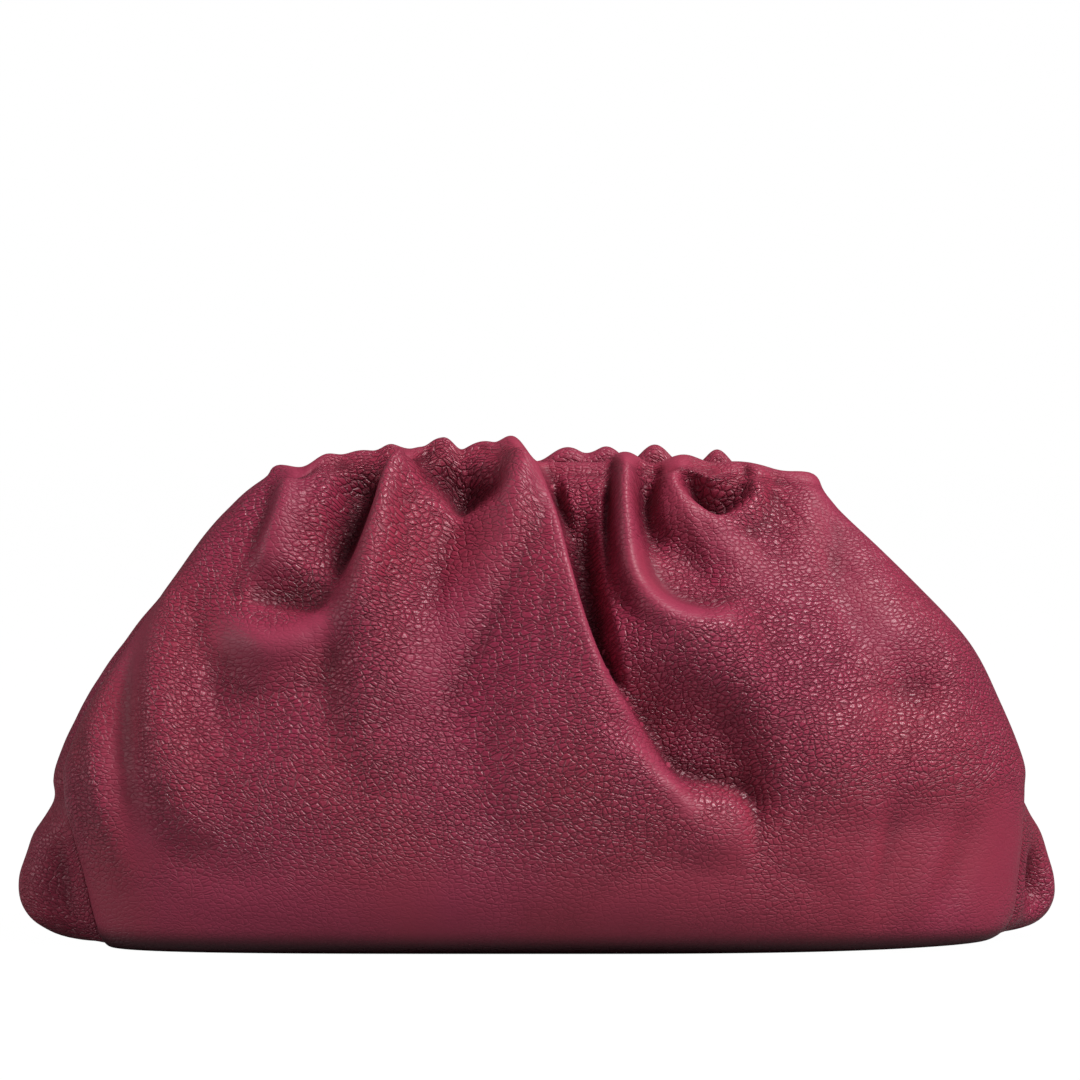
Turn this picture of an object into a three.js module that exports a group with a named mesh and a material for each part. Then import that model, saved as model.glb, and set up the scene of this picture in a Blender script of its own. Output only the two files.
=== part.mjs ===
// A soft leather pouch clutch. A front and a back panel are gathered onto a hidden frame at the mouth,
// and a folded gusset joins them at each end and swells into an ear at the bottom corner.
// Millimetres, +X to the right, -Y to the front, +Z up. The origin is under the middle of the base.
import * as THREE from "three";

// Driving sizes
const BAG_WIDTH = 340; // over the two ears
const BAG_HEIGHT = 167; // to the top of the tallest gather
const BAG_DEPTH = 118; // over the two panels, before their folds
const WALL = 2; // leather, folded and backed
const SEAM_GAP = 0.3; // between two panels that are sewn together
const MOUTH_LENGTH = 182; // over the lips
const MOUTH_SHIFT = 2.5; // the mouth sits a little to the right
const MOUTH_GAP = 8; // between the two lips
const HEM_DEPTH = 19; // how far the folded edge hangs inside the mouth
const FRAME_THICKNESS = 2;
const FRAME_HEIGHT = 8;
const FRAME_PLAY = 1; // round the frame, inside the lips

// Mesh density
const FRONT_COLUMNS = 58;
const BACK_COLUMNS = 34;
const GUSSET_COLUMNS = 6;
const FRAME_COLUMNS = 22;
const ROW_STEPS = [1, 1, 1, 1, 1, 2, 2, 3, 2, 2, 2, 1, 1, 1, 1, 1, 1, 1, 1]; // rows after each section
const CURVE_STEPS = 160; // points that a section is measured with
const FOLD_STEPS = 16; // points along a fold's path

const HALF_WIDTH = BAG_WIDTH / 2;
const HALF_DEPTH = BAG_DEPTH / 2;
const LIP_RADIUS = (2 * WALL + FRAME_THICKNESS + 2 * FRAME_PLAY) / 2;
const LIP_INSIDE = MOUTH_GAP / 2;
const LIP_OUTSIDE = LIP_INSIDE + 2 * LIP_RADIUS;
const LIP_SEAM = MOUTH_GAP / 4; // half the gusset's width at the lips
const LIP_POWER = 5; // how square the mouth's ends are
const ARCH_POWER = 3; // how flat a section stays before it drops to the seams
const LIFT_POWER = 6;
const FLOOR_FADE = 0.085; // folds die out over this share of the height, above the base
const EDGE_FADE = 0.1; // folds die out over this share of a panel's half width, at the seams
const PEAK_FADE = 0.3; // the gathers' peaks die out over this share of the height, below the lips
const VALLEY_FADE = 0.09; // valleys die out over this share of the height, up to the lips
const FOLD_MIN_WIDTH = 0.055 * HALF_WIDTH; // the narrowest side of a fold that the mesh can carry

// Sections from the mouth down, as shares of the bag's sizes. height and arch are of BAG_HEIGHT: arch is
// how far the section drops from its middle to the seams, and lift how far the base's corners rise. depth
// and seam are of half BAG_DEPTH: seam is half the gusset's width. left and right are the seams' places, of
// half BAG_WIDTH. power is the roundness in plan. The ears' columns are of half BAG_WIDTH: bulge swells the
// gusset outwards and sway moves its back half out and its front half in.
const BODY = [
  { height: 0.895, arch: 0.042, lift: 0, depth: 0.31, seam: 0.06, left: 0.588, right: 0.565, power: 3.4,
    leftBulge: 0, leftSway: 0, rightBulge: 0, rightSway: 0 },
  { height: 0.84, arch: 0.042, lift: 0, depth: 0.43, seam: 0.1, left: 0.652, right: 0.62, power: 2.8,
    leftBulge: -0.02, leftSway: 0.005, rightBulge: -0.02, rightSway: 0 },
  { height: 0.74, arch: 0.035, lift: 0, depth: 0.58, seam: 0.16, left: 0.708, right: 0.724, power: 2.5,
    leftBulge: -0.035, leftSway: 0.018, rightBulge: -0.035, rightSway: 0 },
  { height: 0.61, arch: 0.02, lift: 0, depth: 0.73, seam: 0.23, left: 0.784, right: 0.832, power: 2.4,
    leftBulge: -0.03, leftSway: 0.035, rightBulge: -0.04, rightSway: 0.005 },
  { height: 0.48, arch: 0.01, lift: 0, depth: 0.86, seam: 0.29, left: 0.86, right: 0.892, power: 2.3,
    leftBulge: -0.02, leftSway: 0.038, rightBulge: -0.035, rightSway: 0.01 },
  { height: 0.36, arch: 0, lift: 0, depth: 0.95, seam: 0.33, left: 0.905, right: 0.934, power: 2.3,
    leftBulge: 0.008, leftSway: 0.04, rightBulge: -0.02, rightSway: 0.01 },
  { height: 0.27, arch: 0, lift: 0, depth: 0.99, seam: 0.35, left: 0.906, right: 0.934, power: 2.3,
    leftBulge: 0.018, leftSway: 0.012, rightBulge: 0, rightSway: 0 },
  { height: 0.2, arch: 0, lift: 0, depth: 1, seam: 0.36, left: 0.896, right: 0.925, power: 2.3,
    leftBulge: 0.085, leftSway: 0, rightBulge: 0.05, rightSway: 0 },
  { height: 0.12, arch: 0, lift: 0.002, depth: 0.985, seam: 0.34, left: 0.875, right: 0.908, power: 2.5,
    leftBulge: 0.132, leftSway: 0, rightBulge: 0.094, rightSway: 0 },
  { height: 0.06, arch: 0, lift: 0.004, depth: 0.94, seam: 0.31, left: 0.853, right: 0.888, power: 2.8,
    leftBulge: 0.145, leftSway: 0, rightBulge: 0.105, rightSway: 0 },
  { height: 0.018, arch: 0, lift: 0.006, depth: 0.87, seam: 0.27, left: 0.83, right: 0.868, power: 3.2,
    leftBulge: 0.125, leftSway: 0, rightBulge: 0.085, rightSway: 0 },
  { height: 0, arch: 0, lift: 0.005, depth: 0.77, seam: 0.22, left: 0.81, right: 0.845, power: 3.6,
    leftBulge: 0.085, leftSway: 0, rightBulge: 0.055, rightSway: 0 },
  { height: 0, arch: 0, lift: 0, depth: 0.4, seam: 0.1, left: 0.79, right: 0.82, power: 4,
    leftBulge: 0, leftSway: 0, rightBulge: 0, rightSway: 0 },
];

// Folds. A path's points are shares of half BAG_WIDTH, from the middle, and of BAG_HEIGHT. rise is the
// height at its start, middle and foot, as a share of half BAG_DEPTH, and below zero in a valley. left and
// right are the widths at its start and foot, as shares of half BAG_WIDTH: the left and right seen from the
// front for a fold drawn downwards, and the lower and upper sides of one drawn from left to right. lean tips
// the crest to the right.
const FRONT_FOLDS = [
  { name: "left shoulder ridge", path: [[-0.41, 0.96], [-0.47, 0.84], [-0.53, 0.73]],
    rise: [0.08, 0.06, 0.01], left: [0.06, 0.07], right: [0.06, 0.07], lean: 0 },
  { name: "left shoulder groove", path: [[-0.47, 0.93], [-0.53, 0.82], [-0.58, 0.69]],
    rise: [-0.03, -0.05, -0.01], left: [0.06, 0.06], right: [0.06, 0.06], lean: 0 },
  { name: "left puff", path: [[-0.31, 0.97], [-0.36, 0.86], [-0.44, 0.74]],
    rise: [0.1, 0.08, 0.02], left: [0.09, 0.1], right: [0.06, 0.07], lean: 0 },
  { name: "left deep valley", path: [[-0.25, 0.95], [-0.3, 0.84], [-0.38, 0.73], [-0.45, 0.66]],
    rise: [-0.08, -0.2, -0.04], left: [0.08, 0.1], right: [0.06, 0.09], lean: 0 },
  { name: "left shelf", path: [[-0.58, 0.695], [-0.5, 0.665], [-0.42, 0.66]],
    rise: [-0.01, -0.08, -0.03], left: [0.06, 0.06], right: [0.08, 0.08], lean: 0 },
  { name: "below the shelf", path: [[-0.56, 0.62], [-0.48, 0.6], [-0.38, 0.62]],
    rise: [0.03, 0.06, 0.03], left: [0.12, 0.12], right: [0.06, 0.06], lean: 0 },
  { name: "left hollow", path: [[-0.61, 0.65], [-0.59, 0.52], [-0.56, 0.4]],
    rise: [-0.04, -0.06, -0.02], left: [0.07, 0.08], right: [0.1, 0.12], lean: 0 },
  { name: "left rib", path: [[-0.65, 0.7], [-0.675, 0.5], [-0.64, 0.3], [-0.57, 0.18]],
    rise: [0.02, 0.08, 0.02], left: [0.08, 0.1], right: [0.07, 0.1], lean: 0 },
  { name: "left smooth band", path: [[-0.74, 0.6], [-0.79, 0.42], [-0.79, 0.25]],
    rise: [-0.02, -0.05, -0.03], left: [0.06, 0.06], right: [0.07, 0.08], lean: 0 },
  { name: "middle puff", path: [[-0.16, 0.99], [-0.18, 0.85], [-0.25, 0.62], [-0.38, 0.42]],
    rise: [0.14, 0.22, 0.04], left: [0.11, 0.24], right: [0.1, 0.24], lean: -0.01 },
  { name: "scallop", path: [[-0.14, 0.935], [-0.1, 0.905], [-0.04, 0.93]],
    rise: [-0.05, -0.1, -0.05], left: [0.06, 0.06], right: [0.06, 0.06], lean: 0 },
  { name: "soft diagonal valley", path: [[-0.03, 0.88], [-0.11, 0.71], [-0.2, 0.52], [-0.27, 0.42]],
    rise: [-0.05, -0.1, -0.02], left: [0.06, 0.08], right: [0.07, 0.09], lean: 0 },
  { name: "flap", path: [[0.0, 0.96], [0.04, 0.8], [0.1, 0.6], [0.19, 0.42], [0.28, 0.28]],
    rise: [0.12, 0.2, 0], left: [0.1, 0.3], right: [0.055, 0.1], lean: 0.02 },
  { name: "recess", path: [[0.09, 0.9], [0.13, 0.72], [0.17, 0.58], [0.25, 0.42], [0.33, 0.33]],
    rise: [-0.12, -0.27, 0], left: [0.06, 0.08], right: [0.08, 0.13], lean: 0 },
  { name: "large hollow", path: [[0.2, 0.6], [0.27, 0.48], [0.37, 0.36]],
    rise: [0, -0.12, 0], left: [0.1, 0.1], right: [0.15, 0.16], lean: 0 },
  { name: "roll", path: [[0.2, 0.97], [0.18, 0.82], [0.18, 0.68], [0.22, 0.58]],
    rise: [0.12, 0.17, 0], left: [0.055, 0.07], right: [0.06, 0.1], lean: 0 },
  { name: "groove", path: [[0.25, 0.93], [0.23, 0.84], [0.29, 0.75], [0.4, 0.67]],
    rise: [-0.06, -0.13, 0], left: [0.055, 0.06], right: [0.055, 0.08], lean: 0 },
  { name: "second ridge", path: [[0.29, 0.96], [0.26, 0.875], [0.33, 0.8], [0.45, 0.74]],
    rise: [0.1, 0.1, 0], left: [0.055, 0.06], right: [0.055, 0.09], lean: 0 },
  { name: "knot hollow", path: [[0.3, 0.89], [0.345, 0.86], [0.4, 0.885]],
    rise: [-0.06, -0.1, -0.05], left: [0.06, 0.06], right: [0.06, 0.06], lean: 0 },
  { name: "knot ridge", path: [[0.425, 0.94], [0.42, 0.86], [0.37, 0.82]],
    rise: [0.08, 0.06, 0.03], left: [0.06, 0.06], right: [0.07, 0.07], lean: 0 },
  { name: "right puff", path: [[0.47, 0.86], [0.53, 0.66], [0.52, 0.5], [0.46, 0.36]],
    rise: [0.04, 0.15, 0.03], left: [0.2, 0.22], right: [0.18, 0.25], lean: 0 },
  { name: "shoulder ridge", path: [[0.53, 0.88], [0.57, 0.77], [0.63, 0.6]],
    rise: [0.04, 0.05, 0.01], left: [0.06, 0.08], right: [0.06, 0.08], lean: 0 },
  { name: "right diagonal valley", path: [[0.79, 0.53], [0.72, 0.42], [0.66, 0.32]],
    rise: [-0.03, -0.06, -0.02], left: [0.08, 0.08], right: [0.08, 0.08], lean: 0 },
  { name: "pinch", path: [[0.24, 0.33], [0.32, 0.28], [0.39, 0.25], [0.41, 0.17]],
    rise: [0, 0.08, 0], left: [0.1, 0.1], right: [0.06, 0.06], lean: 0 },
  { name: "pinch shadow", path: [[0.38, 0.36], [0.46, 0.27], [0.45, 0.16]],
    rise: [-0.02, -0.08, 0], left: [0.06, 0.06], right: [0.08, 0.08], lean: 0 },
  { name: "right lower rib", path: [[0.69, 0.32], [0.67, 0.2], [0.62, 0.07]],
    rise: [0.02, 0.05, 0.02], left: [0.06, 0.07], right: [0.06, 0.06], lean: 0 },
  { name: "right lower groove", path: [[0.77, 0.28], [0.75, 0.16], [0.7, 0.06]],
    rise: [-0.02, -0.05, -0.02], left: [0.06, 0.06], right: [0.06, 0.06], lean: 0 },
];

const BACK_FOLDS = [
  { name: "left gather", path: [[-0.43, 0.94], [-0.5, 0.8], [-0.58, 0.62]],
    rise: [0.1, 0.09, 0.01], left: [0.06, 0.1], right: [0.06, 0.1], lean: 0 },
  { name: "left valley", path: [[-0.34, 0.92], [-0.4, 0.76], [-0.46, 0.58]],
    rise: [-0.08, -0.15, -0.02], left: [0.05, 0.09], right: [0.04, 0.09], lean: 0 },
  { name: "left puff", path: [[-0.24, 0.97], [-0.27, 0.78], [-0.33, 0.52], [-0.36, 0.32]],
    rise: [0.14, 0.17, 0.03], left: [0.08, 0.2], right: [0.09, 0.2], lean: 0 },
  { name: "left middle valley", path: [[-0.11, 0.92], [-0.13, 0.75], [-0.2, 0.5], [-0.24, 0.34]],
    rise: [-0.09, -0.17, -0.02], left: [0.05, 0.1], right: [0.04, 0.1], lean: 0 },
  { name: "middle puff", path: [[0, 0.98], [0.01, 0.78], [-0.03, 0.55], [-0.06, 0.34]],
    rise: [0.15, 0.18, 0.04], left: [0.08, 0.18], right: [0.09, 0.22], lean: 0.01 },
  { name: "right middle valley", path: [[0.1, 0.92], [0.13, 0.76], [0.2, 0.56], [0.24, 0.42]],
    rise: [-0.1, -0.18, -0.02], left: [0.03, 0.08], right: [0.06, 0.12], lean: 0 },
  { name: "right roll", path: [[0.19, 0.96], [0.22, 0.8], [0.3, 0.66]],
    rise: [0.13, 0.11, 0.02], left: [0.04, 0.06], right: [0.05, 0.08], lean: 0 },
  { name: "right groove", path: [[0.27, 0.93], [0.31, 0.8], [0.41, 0.66]],
    rise: [-0.07, -0.12, -0.02], left: [0.04, 0.06], right: [0.04, 0.08], lean: 0 },
  { name: "right puff", path: [[0.38, 0.94], [0.44, 0.76], [0.5, 0.55], [0.48, 0.34]],
    rise: [0.12, 0.15, 0.03], left: [0.1, 0.2], right: [0.12, 0.24], lean: 0 },
  { name: "right shoulder valley", path: [[0.52, 0.88], [0.6, 0.72], [0.66, 0.55]],
    rise: [-0.03, -0.08, -0.01], left: [0.06, 0.08], right: [0.05, 0.08], lean: 0 },
  { name: "left lower valley", path: [[-0.7, 0.5], [-0.62, 0.34], [-0.52, 0.22]],
    rise: [-0.02, -0.07, -0.02], left: [0.08, 0.08], right: [0.08, 0.08], lean: 0 },
  { name: "right lower valley", path: [[0.78, 0.45], [0.7, 0.3], [0.58, 0.18]],
    rise: [-0.02, -0.07, -0.02], left: [0.08, 0.08], right: [0.08, 0.08], lean: 0 },
];

// Peaks along each lip. at and width are shares of half BAG_WIDTH, and rise of BAG_HEIGHT.
const FRONT_PEAKS = [
  { at: -0.42, width: 0.06, rise: 0.018 },
  { at: -0.3, width: 0.1, rise: 0.03 },
  { at: -0.18, width: 0.05, rise: 0.018 },
  { at: -0.11, width: 0.16, rise: 0.034 },
  { at: 0.19, width: 0.05, rise: 0.016 },
  { at: 0.29, width: 0.06, rise: 0.01 },
];
const BACK_PEAKS = [
  { at: -0.3, width: 0.07, rise: 0.012 },
  { at: -0.12, width: 0.07, rise: 0.014 },
  { at: 0.05, width: 0.06, rise: 0.014 },
  { at: 0.15, width: 0.06, rise: 0.016 },
  { at: 0.25, width: 0.05, rise: 0.016 },
  { at: 0.36, width: 0.05, rise: 0.014 },
];
const LIP_HEIGHT = 0.943; // share of BAG_HEIGHT, without the peaks
const LIP_ARCH = 0.042; // share of BAG_HEIGHT that the lips drop at the mouth's ends

// The dent in each ear. across runs from -1 at the front seam to 1 at the back one, height is a share of
// BAG_HEIGHT and depth of the ear's bulge.
const LEFT_EAR_DENT = { across: -0.55, height: 0.11, depth: 0.45, widthAcross: 0.35, widthHeight: 0.08 };
const RIGHT_EAR_DENT = { across: -0.5, height: 0.1, depth: 0.4, widthAcross: 0.35, widthHeight: 0.07 };

const LEATHER_COLOUR = 0x7c2440;
const LEATHER_ROUGHNESS = 0.5;
const FRAME_COLOUR = 0xb8b4ac;
const FRAME_ROUGHNESS = 0.35;

const LIP_TOP = LIP_HEIGHT * BAG_HEIGHT;
const LIP_TURN = [0, 0.25, 0.5, 0.75, 1]; // stations round the lip, as shares of its half turn
const LIP_ROW = LIP_TURN.length; // the last row of the lip's turn, after the hem's row

const smooth = (low, high, value) => THREE.MathUtils.smoothstep(value, low, high);

// A fold's path as measured points, with how far along it each one is.
function measuredPath(path) {
  const points = path.map(([x, z]) => new THREE.Vector3(x * HALF_WIDTH, 0, z * BAG_HEIGHT));
  return new THREE.CatmullRomCurve3(points, false, "centripetal").getSpacedPoints(FOLD_STEPS);
}

// The nearest point of a path to (x, z): its share along the path, the distance, the direction across the
// path and the side, from -1 to 1 with round ends between.
function nearestOnPath(points, x, z) {
  let best = { distance: Infinity };
  for (let i = 0; i + 1 < points.length; i++) {
    const a = points[i];
    const runX = points[i + 1].x - a.x;
    const runZ = points[i + 1].z - a.z;
    const length = Math.hypot(runX, runZ);
    const share = THREE.MathUtils.clamp(((x - a.x) * runX + (z - a.z) * runZ) / length ** 2, 0, 1);
    const offX = x - a.x - share * runX;
    const offZ = z - a.z - share * runZ;
    const distance = Math.hypot(offX, offZ);
    if (distance < best.distance) {
      const across = [-runZ / length, runX / length];
      best = {
        distance,
        along: (i + share) / (points.length - 1),
        side: distance > 0 ? (offX * across[0] + offZ * across[1]) / distance : 0,
        across,
      };
    }
  }
  return best;
}

// The sum of the folds at (x, z): how far the leather stands out, and how far it leans sideways.
function foldsAt(folds, x, z) {
  const sum = { out: 0, x: 0, z: 0 };
  for (const fold of folds) {
    const near = nearestOnPath(fold.points, x, z);
    const [left, right] = [fold.left, fold.right].map((ends) => THREE.MathUtils.lerp(...ends, near.along));
    const width = THREE.MathUtils.lerp(left, right, (1 + near.side) / 2) * HALF_WIDTH;
    const share = near.distance / Math.max(width, FOLD_MIN_WIDTH);
    if (share >= 1) continue;
    const swell = (1 - share ** 2) ** 2;
    const [start, middle, foot] = fold.rise;
    const along = near.along;
    const atEnds = start * (1 - along) * (1 - 2 * along) + foot * along * (2 * along - 1);
    const rise = atEnds + 4 * middle * along * (1 - along);
    sum.out += rise * HALF_DEPTH * swell;
    const lean = fold.lean * HALF_WIDTH * Math.sin(Math.PI * along) * swell;
    sum.x += lean * near.across[0];
    sum.z += lean * near.across[1];
  }
  return sum;
}

// A section through the lips, at a height and a depth that are in millimetres.
function lipSection(height, depth, folds) {
  const halfLength = MOUTH_LENGTH / 2 - (LIP_OUTSIDE - depth);
  return {
    height, arch: LIP_ARCH * BAG_HEIGHT, lift: 0, depth, seam: LIP_SEAM, power: LIP_POWER,
    left: halfLength - MOUTH_SHIFT, right: halfLength + MOUTH_SHIFT,
    leftBulge: 0, leftSway: 0, rightBulge: 0, rightSway: 0, folds, peaks: 1,
  };
}

// The sections from the hem inside the mouth to the middle of the base, in millimetres.
function panelSections() {
  const hem = { ...lipSection(LIP_TOP - HEM_DEPTH, LIP_INSIDE, 0), peaks: 0 };
  const lips = LIP_TURN.map((share) => {
    const angle = share * Math.PI;
    return lipSection(
      LIP_TOP - LIP_RADIUS + LIP_RADIUS * Math.sin(angle),
      LIP_INSIDE + LIP_RADIUS * (1 - Math.cos(angle)),
      Math.max(-Math.cos(angle), 0),
    );
  });
  const body = BODY.map((row) => ({
    height: row.height * BAG_HEIGHT,
    arch: row.arch * BAG_HEIGHT,
    lift: row.lift * BAG_HEIGHT,
    depth: row.depth * HALF_DEPTH,
    seam: row.seam * HALF_DEPTH,
    left: row.left * HALF_WIDTH,
    right: row.right * HALF_WIDTH,
    power: row.power,
    leftBulge: row.leftBulge * HALF_WIDTH,
    leftSway: row.leftSway * HALF_WIDTH,
    rightBulge: row.rightBulge * HALF_WIDTH,
    rightSway: row.rightSway * HALF_WIDTH,
    folds: 1,
    peaks: 1,
  }));
  const last = body[body.length - 1];
  const middle = { ...last, depth: SEAM_GAP / 2, seam: SEAM_GAP / 2, leftBulge: 0, rightBulge: 0 };
  return [hem, ...lips, ...body, middle];
}

// The rows between the sections, each number following a smooth curve through the table.
function rowsOf(sections) {
  const names = Object.keys(sections[0]);
  const at = (index) => sections[THREE.MathUtils.clamp(index, 0, sections.length - 1)];
  const rows = [];
  for (let i = 0; i + 1 < sections.length; i++) {
    const steps = ROW_STEPS[i] ?? 1;
    for (let step = 0; step < steps; step++) {
      const share = step / steps;
      const row = {};
      for (const name of names) {
        const [a, b, c, d] = [at(i - 1), at(i), at(i + 1), at(i + 2)].map((section) => section[name]);
        row[name] =
          b + 0.5 * share * (c - a + share * (2 * a - 5 * b + 4 * c - d + share * (3 * (b - c) + d - a)));
      }
      row.height = Math.max(row.height, 0);
      rows.push(row);
    }
  }
  rows.push({ ...sections[sections.length - 1] });
  return rows;
}

// A point of a panel's section, for an angle from -90 degrees at the left seam to 90 at the right one.
// side is -1 for the front panel and 1 for the back one.
function sectionPoint(row, side, angle) {
  const share = Math.sin(angle);
  const round = Math.max(1 - Math.abs(share) ** row.power, 0) ** (1 / row.power);
  return new THREE.Vector3(
    (row.right - row.left) / 2 + ((row.right + row.left) / 2) * share,
    side * (row.seam + (row.depth - row.seam) * round),
    row.height - row.arch * Math.abs(share) ** ARCH_POWER + row.lift * Math.abs(share) ** LIFT_POWER,
  );
}

// A section's points at even angles.
function sectionCurve(row, side, steps) {
  return Array.from({ length: steps + 1 }, (_, i) => sectionPoint(row, side, (i / steps - 0.5) * Math.PI));
}

// One row of a panel, spaced evenly along its length.
function panelRow(row, side, columns) {
  const measured = sectionCurve(row, side, CURVE_STEPS);
  const reached = [0];
  for (let i = 1; i <= CURVE_STEPS; i++) {
    reached.push(reached[i - 1] + measured[i].distanceTo(measured[i - 1]));
  }
  const spaced = [];
  let i = 0;
  for (let column = 0; column <= columns; column++) {
    const wanted = (column / columns) * reached[CURVE_STEPS];
    while (i + 1 < CURVE_STEPS && reached[i + 1] < wanted) i++;
    const share = (wanted - reached[i]) / (reached[i + 1] - reached[i]);
    spaced.push(measured[i].clone().lerp(measured[i + 1], share));
  }
  return spaced;
}

// One row of a gusset, from the front seam to the back one. end is 0 for the left gusset and -1 for the
// right one, and frontEdge and backEdge are the panels' own edges.
function gussetRow(row, end, frontEdge, backEdge) {
  const isLeft = end === 0;
  const outwards = isLeft ? -1 : 1;
  const bulge = isLeft ? row.leftBulge : row.rightBulge;
  const sway = isLeft ? row.leftSway : row.rightSway;
  return Array.from({ length: GUSSET_COLUMNS + 1 }, (_, column) => {
    const across = (2 * column) / GUSSET_COLUMNS - 1;
    const point = frontEdge.clone().lerp(backEdge, (across + 1) / 2);
    const dent = isLeft ? LEFT_EAR_DENT : RIGHT_EAR_DENT;
    const farAcross = (across - dent.across) / dent.widthAcross;
    const farUp = (point.z / BAG_HEIGHT - dent.height) / dent.widthHeight;
    const full = 1 - dent.depth * Math.exp(-(farAcross ** 2) - farUp ** 2);
    const swell = bulge * Math.cos((across * Math.PI) / 2) * full;
    point.x += outwards * (swell + sway * Math.sin(across * Math.PI));
    return point;
  });
}

const differences = (points, i) =>
  points[Math.min(i + 1, points.length - 1)].clone().sub(points[Math.max(i - 1, 0)]);

// The outward normals of a grid of points. facing turns them the right way round.
function normalsOf(grid, facing) {
  return grid.map((row, r) =>
    row.map((_, c) => {
      const down = differences(grid.map((one) => one[c]), r);
      const across = differences(row, c);
      return across.cross(down).multiplyScalar(facing).normalize();
    }),
  );
}

// Makes the two sheets that meet at a seam share one direction through their thickness.
function mitre(panelNormals, panelColumn, gussetNormals, gussetColumn) {
  gussetNormals.forEach((row, r) => {
    const shared = row[gussetColumn].clone().add(panelNormals[r][panelColumn]).normalize();
    row[gussetColumn] = shared;
    panelNormals[r][panelColumn] = shared.clone();
  });
}

// Moves a grid's two edge columns back from their seams, by half the gap.
function pullBack(grid) {
  for (const row of grid) {
    const last = row.length - 1;
    for (const [edge, next] of [[0, 1], [last, last - 1]]) {
      const inwards = row[next].clone().sub(row[edge]).setLength(SEAM_GAP / 2);
      row[edge] = row[edge].clone().add(inwards);
    }
  }
}

// Moves a gusset's last row out from the panels' edges under the base, by the gap.
function pullBackFoot(grid) {
  for (const point of grid.at(-1)) point.x += Math.sign(point.x) * SEAM_GAP;
}

// A wall of leather: the grid of outer points and the same grid WALL further in, closed round its edges.
function wallGeometry(outer, normals, flip) {
  const rows = outer.length;
  const columns = outer[0].length;
  const innerPoint = (point, r, c) => point.clone().addScaledVector(normals[r][c], -WALL);
  const inner = outer.map((row, r) => row.map((point, c) => innerPoint(point, r, c)));
  const positions = [...outer.flat(), ...inner.flat()].flatMap((point) => point.toArray());
  const outerAt = (r, c) => r * columns + c;
  const innerAt = (r, c) => rows * columns + outerAt(r, c);
  const triangles = [];
  const quad = (a, b, c, d) => triangles.push(...(flip ? [a, c, b, a, d, c] : [a, b, c, a, c, d]));
  for (let r = 0; r + 1 < rows; r++)
    for (let c = 0; c + 1 < columns; c++) {
      quad(outerAt(r, c), outerAt(r + 1, c), outerAt(r + 1, c + 1), outerAt(r, c + 1));
      quad(innerAt(r, c), innerAt(r, c + 1), innerAt(r + 1, c + 1), innerAt(r + 1, c));
    }
  for (let r = 0; r + 1 < rows; r++) {
    const last = columns - 1;
    quad(outerAt(r, 0), innerAt(r, 0), innerAt(r + 1, 0), outerAt(r + 1, 0));
    quad(outerAt(r, last), outerAt(r + 1, last), innerAt(r + 1, last), innerAt(r, last));
  }
  for (let c = 0; c + 1 < columns; c++) {
    const last = rows - 1;
    quad(outerAt(0, c), outerAt(0, c + 1), innerAt(0, c + 1), innerAt(0, c));
    quad(outerAt(last, c), innerAt(last, c), innerAt(last, c + 1), outerAt(last, c + 1));
  }
  const geometry = new THREE.BufferGeometry();
  geometry.setAttribute("position", new THREE.Float32BufferAttribute(positions, 3));
  geometry.setIndex(triangles);
  geometry.computeVertexNormals();
  return geometry;
}

// Folds and gathers a panel's grid: each point moves along its own normal, so the wall keeps its thickness.
function foldPanel(grid, normals, rows, folds, peaks) {
  const measured = folds.map((fold) => ({ ...fold, points: measuredPath(fold.path) }));
  const last = grid[0].length - 1;
  const lipFoot = rows[LIP_ROW].height;
  grid.forEach((row, r) =>
    row.forEach((point, c) => {
      const fromSeam = Math.min(c, last - c) / (last / 2);
      const offFloor = smooth(0, FLOOR_FADE * BAG_HEIGHT, point.z);
      const strength = rows[r].folds * offFloor * smooth(0, EDGE_FADE, fromSeam);
      const moved = foldsAt(measured, point.x, point.z);
      const inLip = r <= LIP_ROW ? 1 : smooth(lipFoot - VALLEY_FADE * BAG_HEIGHT, lipFoot, rows[r].height);
      const out = moved.out < 0 ? moved.out * (1 - inLip) : moved.out;
      const peak = peaks.reduce((sum, one) => {
        const far = Math.abs(point.x / HALF_WIDTH - one.at) / one.width;
        return sum + (far < 1 ? one.rise * BAG_HEIGHT * (1 - far ** 2) ** 2 : 0);
      }, 0);
      const peakFade = r <= LIP_ROW ? 1 : smooth((1 - PEAK_FADE) * BAG_HEIGHT, lipFoot, rows[r].height);
      const shift = new THREE.Vector3(moved.x, 0, moved.z).multiplyScalar(strength);
      point.addScaledVector(normals[r][c], out * strength).add(shift);
      point.z += peak * rows[r].peaks * smooth(0, EDGE_FADE, fromSeam) * peakFade;
    }),
  );
}

const leather = new THREE.MeshStandardMaterial({
  color: LEATHER_COLOUR,
  roughness: LEATHER_ROUGHNESS,
  metalness: 0,
});
const steel = new THREE.MeshStandardMaterial({
  color: FRAME_COLOUR,
  roughness: FRAME_ROUGHNESS,
  metalness: 1,
});

function namedMesh(name, geometry, material) {
  const mesh = new THREE.Mesh(geometry, material);
  mesh.name = name;
  return mesh;
}

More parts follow.
